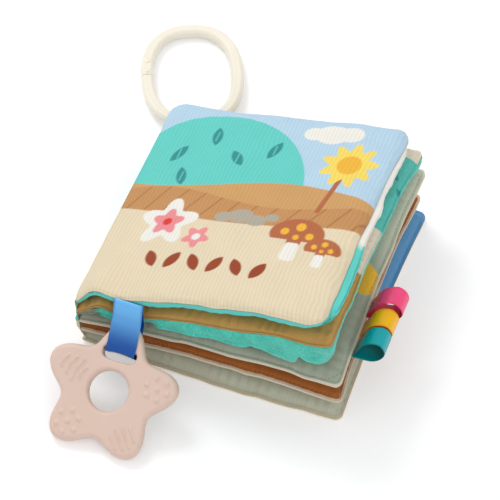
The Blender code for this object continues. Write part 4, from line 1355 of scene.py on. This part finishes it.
def add_teether():
    """A moulded five-armed slab with rounded edges, domes, ridges, a finger hole and a ribbon slot."""
    turns, rings = TEETHER_TURNS, TEETHER_RINGS
    angle = (2 * pi * np.arange(turns) / turns)[:, None]
    share = np.linspace(0, 1, rings)
    ease = 0.5 - 0.5 * np.cos(pi * share)
    share = (0.45 * share + 0.55 * ease)[None, :]
    outer = teether_reach(angle)
    r = TEETHER_HOLE_R + (outer - TEETHER_HOLE_R) * share
    slope = 5 * TEETHER_ARM * np.sin(5 * angle) / outer
    from_out = (outer - r) / np.sqrt(1 + slope**2)
    from_hole = r - TEETHER_HOLE_R
    p = -r * np.sin(angle)
    q = r * np.cos(angle)
    slot_q = TEETHER_SLOT_TOP - TEETHER_SLOT_H / 2
    bowed = q - SLOT_BOW * p**2
    slot = slab(p, bowed, 0, slot_q, TEETHER_SLOT_W / 2, TEETHER_SLOT_H / 2, 0, SLOT_CORNER_R)
    face = TEETHER_HALF_T - quarter(from_out, TEETHER_EDGE_R) - quarter(from_hole, TEETHER_LIP_R)
    face = face + texture_rise(p, q) * smooth(from_out / TEXTURE_MARGIN)
    face = face - quarter(slot, SLOT_LIP_R)
    top = np.stack((p, q, face), axis=-1).reshape(-1, 3)
    bottom = top * (1, 1, -1)
    index = np.arange(turns * rings).reshape(turns, rings)
    after = np.roll(index, -1, axis=0)
    count = turns * rings
    quads = np.stack((index[:, :-1], index[:, 1:], after[:, 1:], after[:, :-1]), axis=-1).reshape(-1, 4)
    walls = np.concatenate((
        np.stack((index[:, 0], after[:, 0], after[:, 0] + count, index[:, 0] + count), axis=-1),
        np.stack((index[:, -1], index[:, -1] + count, after[:, -1] + count, after[:, -1]), axis=-1),
    ))
    faces = quads.tolist() + (quads[:, ::-1] + count).tolist() + walls.tolist()
    mesh = new_mesh("teether", np.concatenate((top, bottom)), faces)
    face_out(mesh, 60)
    blank = new_object("teether_blank", mesh)
    cutter = new_object("slot_cutter", slot_mesh(slot_q))
    cut = blank.modifiers.new("slot", "BOOLEAN")
    cut.object = cutter
    cut.operation = "DIFFERENCE"
    cut_mesh = bpy.data.meshes.new_from_object(blank.evaluated_get(bpy.context.evaluated_depsgraph_get()))
    bpy.data.objects.remove(blank)
    bpy.data.objects.remove(cutter)
    up, out = teether_axes()
    turn = Matrix((Vector((1, 0, 0)), up, out)).transposed().to_4x4()
    cut_mesh.transform(Matrix.Translation(teether_centre() + Vector(SHIFT)) @ turn)
    cut_mesh.name = "teether_moulding"
    cut_mesh.materials.clear()
    face_out(cut_mesh, 60)
    add_piece("teether_moulding", cut_mesh, "teether", silicone_material(), "teether")


def slot_mesh(slot_q):
    """A tall prism with the slot's rounded outline."""
    half_w, half_h = TEETHER_SLOT_W / 2, TEETHER_SLOT_H / 2
    outline = []
    for sx, sy, first in ((1, 1, 0), (-1, 1, 90), (-1, -1, 180), (1, -1, 270)):
        for i in range(9):
            angle = radians(first + 90 * i / 8)
            x = sx * (half_w - SLOT_CORNER_R) + SLOT_CORNER_R * cos(angle)
            y = sy * (half_h - SLOT_CORNER_R) + SLOT_CORNER_R * sin(angle)
            outline.append((x, slot_q + y))
    fine = []
    for (x1, y1), (x2, y2) in zip(outline, outline[1:] + outline[:1]):
        for t in (0, 1 / 3, 2 / 3):
            x, y = x1 + (x2 - x1) * t, y1 + (y2 - y1) * t
            fine.append((x, y + SLOT_BOW * x**2))
    points = [(x, y, z) for z in (-CUTTER_HALF, CUTTER_HALF) for x, y in fine]
    return new_mesh("slot_cutter", points, tube_faces(2, len(fine)))


# Ring and its strap


def ring_line(turn):
    """A place on the ring's centre line, across and along it, and the outward normal there."""
    half_w, half_l = (RING_W - RING_STROKE) / 2, (RING_L - RING_STROKE) / 2
    c, s = np.cos(turn), np.sin(turn)
    across = np.abs(c) ** (2 / RING_SQUARENESS) * np.sign(c)
    along = np.abs(s) ** (2 / RING_SQUARENESS) * np.sign(s)
    steep = RING_SQUARENESS - 1
    out = np.stack((np.abs(across) ** steep * np.sign(across) / half_w,
                    np.abs(along) ** steep * np.sign(along) / half_l), axis=-1)
    out /= np.linalg.norm(out, axis=-1, keepdims=True)
    return np.stack((half_w * across, half_l * along), axis=-1), out


def ring_places(back):
    """The strap's seam, the ring's near end, and unit vectors across, along and out of the ring."""
    skew = radians(RING_SKEW)
    reaches = []
    for side in (-1, 0, 1):
        across = STRAP_W / 2 * side
        reaches.append(back.seam_spot(STRAP_X + across * cos(skew), LEAF_L)[1] - across * sin(skew))
    seam = Vector(back.seam_spot(STRAP_X, LEAF_L))
    seam.y = max(reaches) + GAP + SATIN + GAP / 2
    half_w, half_l = (RING_W - RING_STROKE) / 2, (RING_L - RING_STROKE) / 2
    end_r = half_w * half_w / half_l - RING_STROKE / 2
    sag = end_r - sqrt(end_r**2 - (STRAP_W / 2) ** 2)
    loop = hypot(RING_STROKE / 2, RING_T / 2 - RING_CHAMFER) + sag + GAP + SATIN / 2
    height = loop + SATIN / 2 + GAP
    way = Vector((-sin(skew), cos(skew), 0))
    near = seam + way * STRAP_REACH
    near.z = height
    drop = (height - RING_T / 2 - GAP) / (RING_L - RING_STROKE / 2)
    along = way * sqrt(1 - drop * drop)
    along.z = -drop
    side = Vector((way.y, -way.x, 0))
    return seam, near, loop, way, side, along, side.cross(along)


def add_ring(back):
    """A moulded link with a bevelled, grooved section, a cut, and two nubs on its face, both on one side of
    the cut.
    """
    _, near, _, _, side, along, up = ring_places(back)
    half_l = (RING_L - RING_STROKE) / 2
    centre = near + along * half_l + Vector(SHIFT)
    wide, tall, bevel = RING_STROKE / 2, RING_T / 2, RING_CHAMFER
    corners = [
        (wide, tall - bevel),
        (wide - bevel, tall),
        (RING_GROOVE, tall - RING_GROOVE_DEPTH),
        (-RING_GROOVE, tall - RING_GROOVE_DEPTH),
        (-wide + bevel, tall),
        (-wide, tall - bevel),
        (-wide, bevel - tall),
        (bevel - wide, -tall),
        (wide - bevel, -tall),
        (wide, bevel - tall),
    ]
    section = []
    for i, corner in enumerate(corners):
        before, here = Vector(corners[i - 1]), Vector(corner)
        after = Vector(corners[(i + 1) % len(corners)])
        run = GROOVE_ROUND if i in (2, 3) else RING_ROUND
        start = here + (before - here).normalized() * min(run, (before - here).length * 0.4)
        end = here + (after - here).normalized() * min(run, (after - here).length * 0.4)
        for t in (0, 1 / 3, 2 / 3, 1):
            section.append(start * (1 - t) ** 2 + here * 2 * t * (1 - t) + end * t * t)
    section = np.array(section)
    cut = asin((RING_CUT / 2 / half_l) ** (RING_SQUARENESS / 2))
    turn = pi + cut + (2 * pi - 2 * cut) * np.linspace(0, 1, 6001)
    runs = runs_along(ring_line(turn)[0])
    turn = np.interp(np.linspace(0, runs[-1], RING_STEPS + 1), runs, turn)
    spots, out = ring_line(turn)
    axes = np.array((side, along, up))
    flat = spots[:, None, :] + out[:, None, :] * section[None, :, :1]
    local = np.concatenate((flat, np.broadcast_to(section[None, :, 1:], (*flat.shape[:2], 1))), axis=-1)
    points = local @ axes + np.array(centre)
    mesh = new_mesh("clip_ring", points.reshape(-1, 3), tube_faces(*points.shape[:2]))
    face_out(mesh, 60)
    plastic = ring_material()
    add_piece("clip_ring_moulding", mesh, "ring", plastic, "clip_ring")
    for i, shift in enumerate(NUB_TURNS):
        spot = ring_line(np.array([pi + shift]))[0][0]
        place = np.array((*spot, tall - RING_GROOVE_DEPTH)) @ axes + np.array(centre)
        add_nub(f"ring_nub_{i}", place, up, plastic)


def add_nub(name, place, up, material):
    """A small moulded button on the ring's face."""
    shape = bmesh.new()
    bmesh.ops.create_uvsphere(shape, u_segments=24, v_segments=12, radius=NUB_R)
    bmesh.ops.scale(shape, vec=(1, 1, NUB_SQUASH), verts=shape.verts)
    turn = up.to_track_quat("Z", "Y").to_matrix().to_4x4()
    bmesh.ops.transform(shape, matrix=Matrix.Translation(place) @ turn, verts=shape.verts)
    mesh = bpy.data.meshes.new(name)
    shape.to_mesh(mesh)
    shape.free()
    mesh.shade_smooth()
    add_piece(name, mesh, "ring", material)


def add_strap(back):
    """The loop that ties the ring to the back cover's back seam."""
    seam, near, loop, way, side, _, _ = ring_places(back)
    middle = near.z - seam.z
    path = loop_path(STRAP_REACH - loop, STRAP_REACH + loop, middle + loop, middle - loop, loop * 0.9)

    def to_world(x, z, across):
        spots = np.array(seam) + SHIFT + x[..., None] * np.array(way) + across[..., None] * np.array(side)
        spots[..., 2] += z
        return spots

    satin = satin_material("teal_satin_strap", srgb(6, 160, 166), srgb(0, 112, 118))
    add_ribbon("ring_strap", "strap", "teal_satin", satin, path, STRAP_W, to_world)


# Stitches


def add_stitches(leaf, inset, colour, relief):
    """A row of thread stitches round the three sewn sides of a leaf's upper cloth, half sunk in it."""
    corner = CORNER_R - inset
    outline = [(STITCH_START, inset)]
    for cy, first in ((CORNER_R, -90), (LEAF_L - CORNER_R, 0)):
        for i in range(13):
            angle = radians(first + 90 * i / 12)
            outline.append((LEAF_W - CORNER_R + corner * cos(angle), cy + corner * sin(angle)))
    outline = np.array(outline + [(STITCH_START, LEAF_L - inset)])
    runs = runs_along(outline)
    count = int(runs[-1] / STITCH_PITCH)
    steps, ring = 7, 6
    dip = np.sin(np.linspace(0, pi, steps))
    radius = THREAD_R * np.maximum(0.25, dip**0.4)
    turn = 2 * pi * np.arange(ring)[:, None] / ring
    points, faces = [], []
    for i in range(count):
        at = (i + 0.5) * runs[-1] / count + STITCH_LENGTH * np.linspace(-0.5, 0.5, steps)
        x = np.interp(at, runs, outline[:, 0])
        y = np.interp(at, runs, outline[:, 1])
        lift = np.maximum(relief(x, y), GAP - CLOTH)
        spine = leaf.place(x, y, leaf.middle(x, y) + (leaf.swell(x, y, 1, CLOTH_REACH) + CLOTH + lift))
        spine = spine + (STITCH_RISE * dip - STITCH_SINK)[:, None] * leaf.up
        ahead = ways_along(spine)
        beside = np.cross(ahead, leaf.up)
        beside /= np.linalg.norm(beside, axis=1, keepdims=True)
        above = np.cross(beside, ahead)
        spokes = beside[:, None] * np.cos(turn) + above[:, None] * np.sin(turn)
        points.append((spine[:, None] + radius[:, None, None] * spokes).reshape(-1, 3))
        faces += tube_faces(steps, ring, i * steps * ring)
    name = leaf.name + "_stitches"
    mesh = new_mesh(name, np.concatenate(points), faces)
    face_out(mesh, 80)
    add_piece(name, mesh, leaf.name, thread_material(name + "_thread", colour))


# Stage


def add_stage():
    """A pale floor that keeps the shadow, white to the camera where nothing shades it, and the sky."""
    m = material_nodes("floor_white")
    rays = m.add("LightPath").outputs
    seen = m.math("MAXIMUM", rays["Is Camera Ray"], rays["Is Glossy Ray"])
    seen = m.math("MAXIMUM", seen, rays["Is Transmission Ray"])
    diffuse = m.add("BsdfDiffuse", {"Color": (0.86, 0.86, 0.87, 1)})
    glow = m.add("Emission", {"Color": (1, 1, 1, 1), "Strength": m.math("MULTIPLY", seen, FLOOR_GLOW)})
    both = m.add("AddShader", {0: diffuse.outputs[0], 1: glow.outputs[0]})
    m.feed(m.tree.nodes["Material Output"], {"Surface": both.outputs[0]})
    m.tree.nodes.remove(m.tree.nodes["Principled BSDF"])
    corners = ((-1, -1), (1, -1), (1, 1), (-1, 1))
    mesh = new_mesh("floor", [(FLOOR_HALF * x, FLOOR_HALF * y, 0) for x, y in corners], [(0, 1, 2, 3)])
    mesh.materials.append(m.owner)
    floor = new_object("floor", mesh)
    floor.location.z = -0.0001

    world = bpy.data.worlds.new("studio")
    bpy.context.scene.world = world
    w = Nodes(world)
    ray = w.add("TexCoord").outputs["Generated"]
    toward = w.add("VectorMath", {0: ray, 1: BRIGHT_SIDE}, operation="DOT_PRODUCT").outputs["Value"]
    seen = w.add("LightPath").outputs["Is Camera Ray"]
    strength = w.span(seen, w.span(toward, *SKY_LIGHT, -1.0, 1.0), 1.0)
    w.feed(w.tree.nodes["Background"], {"Strength": strength, "Color": (1, 1, 1, 1)})


def add_light(name, place, target, size, power):
    light = bpy.data.lights.new(name, "AREA")
    light.size = size
    light.energy = power
    lamp = new_object(name, light)
    lamp.location = place
    lamp.rotation_euler = (Vector(target) - Vector(place)).to_track_quat("-Z", "Y").to_euler()


def add_camera():
    """The photograph's viewing angle: from 53 degrees above, a little to the fore-edge side."""
    place, target = Vector(CAMERA_PLACE), Vector(CAMERA_TARGET)
    lens = bpy.data.cameras.new("photo_camera")
    lens.lens = CAMERA_LENS
    lens.sensor_width = 36
    camera = new_object("photo_camera", lens)
    camera.location = place
    camera.rotation_euler = (target - place).to_track_quat("-Z", "Y").to_euler()
    bpy.context.scene.camera = camera


def main():
    bpy.context.scene.view_settings.view_transform = "Standard"
    add_stage()
    add_light("key", (-1.1, 0.7, 1.7), (0, 0, 0), 0.7, 11.5)
    add_light("fill", (1.3, -1.2, 1.4), (0, 0, 0), 1.6, 9)
    add_camera()
    leaves = make_leaves()
    add_leaves(leaves)
    back, plain_page, tag_page, _, cover = leaves
    add_teether_ribbon(cover)
    add_teether()
    add_ring(back)
    add_strap(back)
    add_tags(tag_page)
    add_stitches(tag_page, TAG_PAGE_STITCH_IN, srgb(158, 160, 142), page_relief(33))
    add_stitches(plain_page, PLAIN_PAGE_STITCH_IN, srgb(136, 80, 38), page_relief(21))


main()
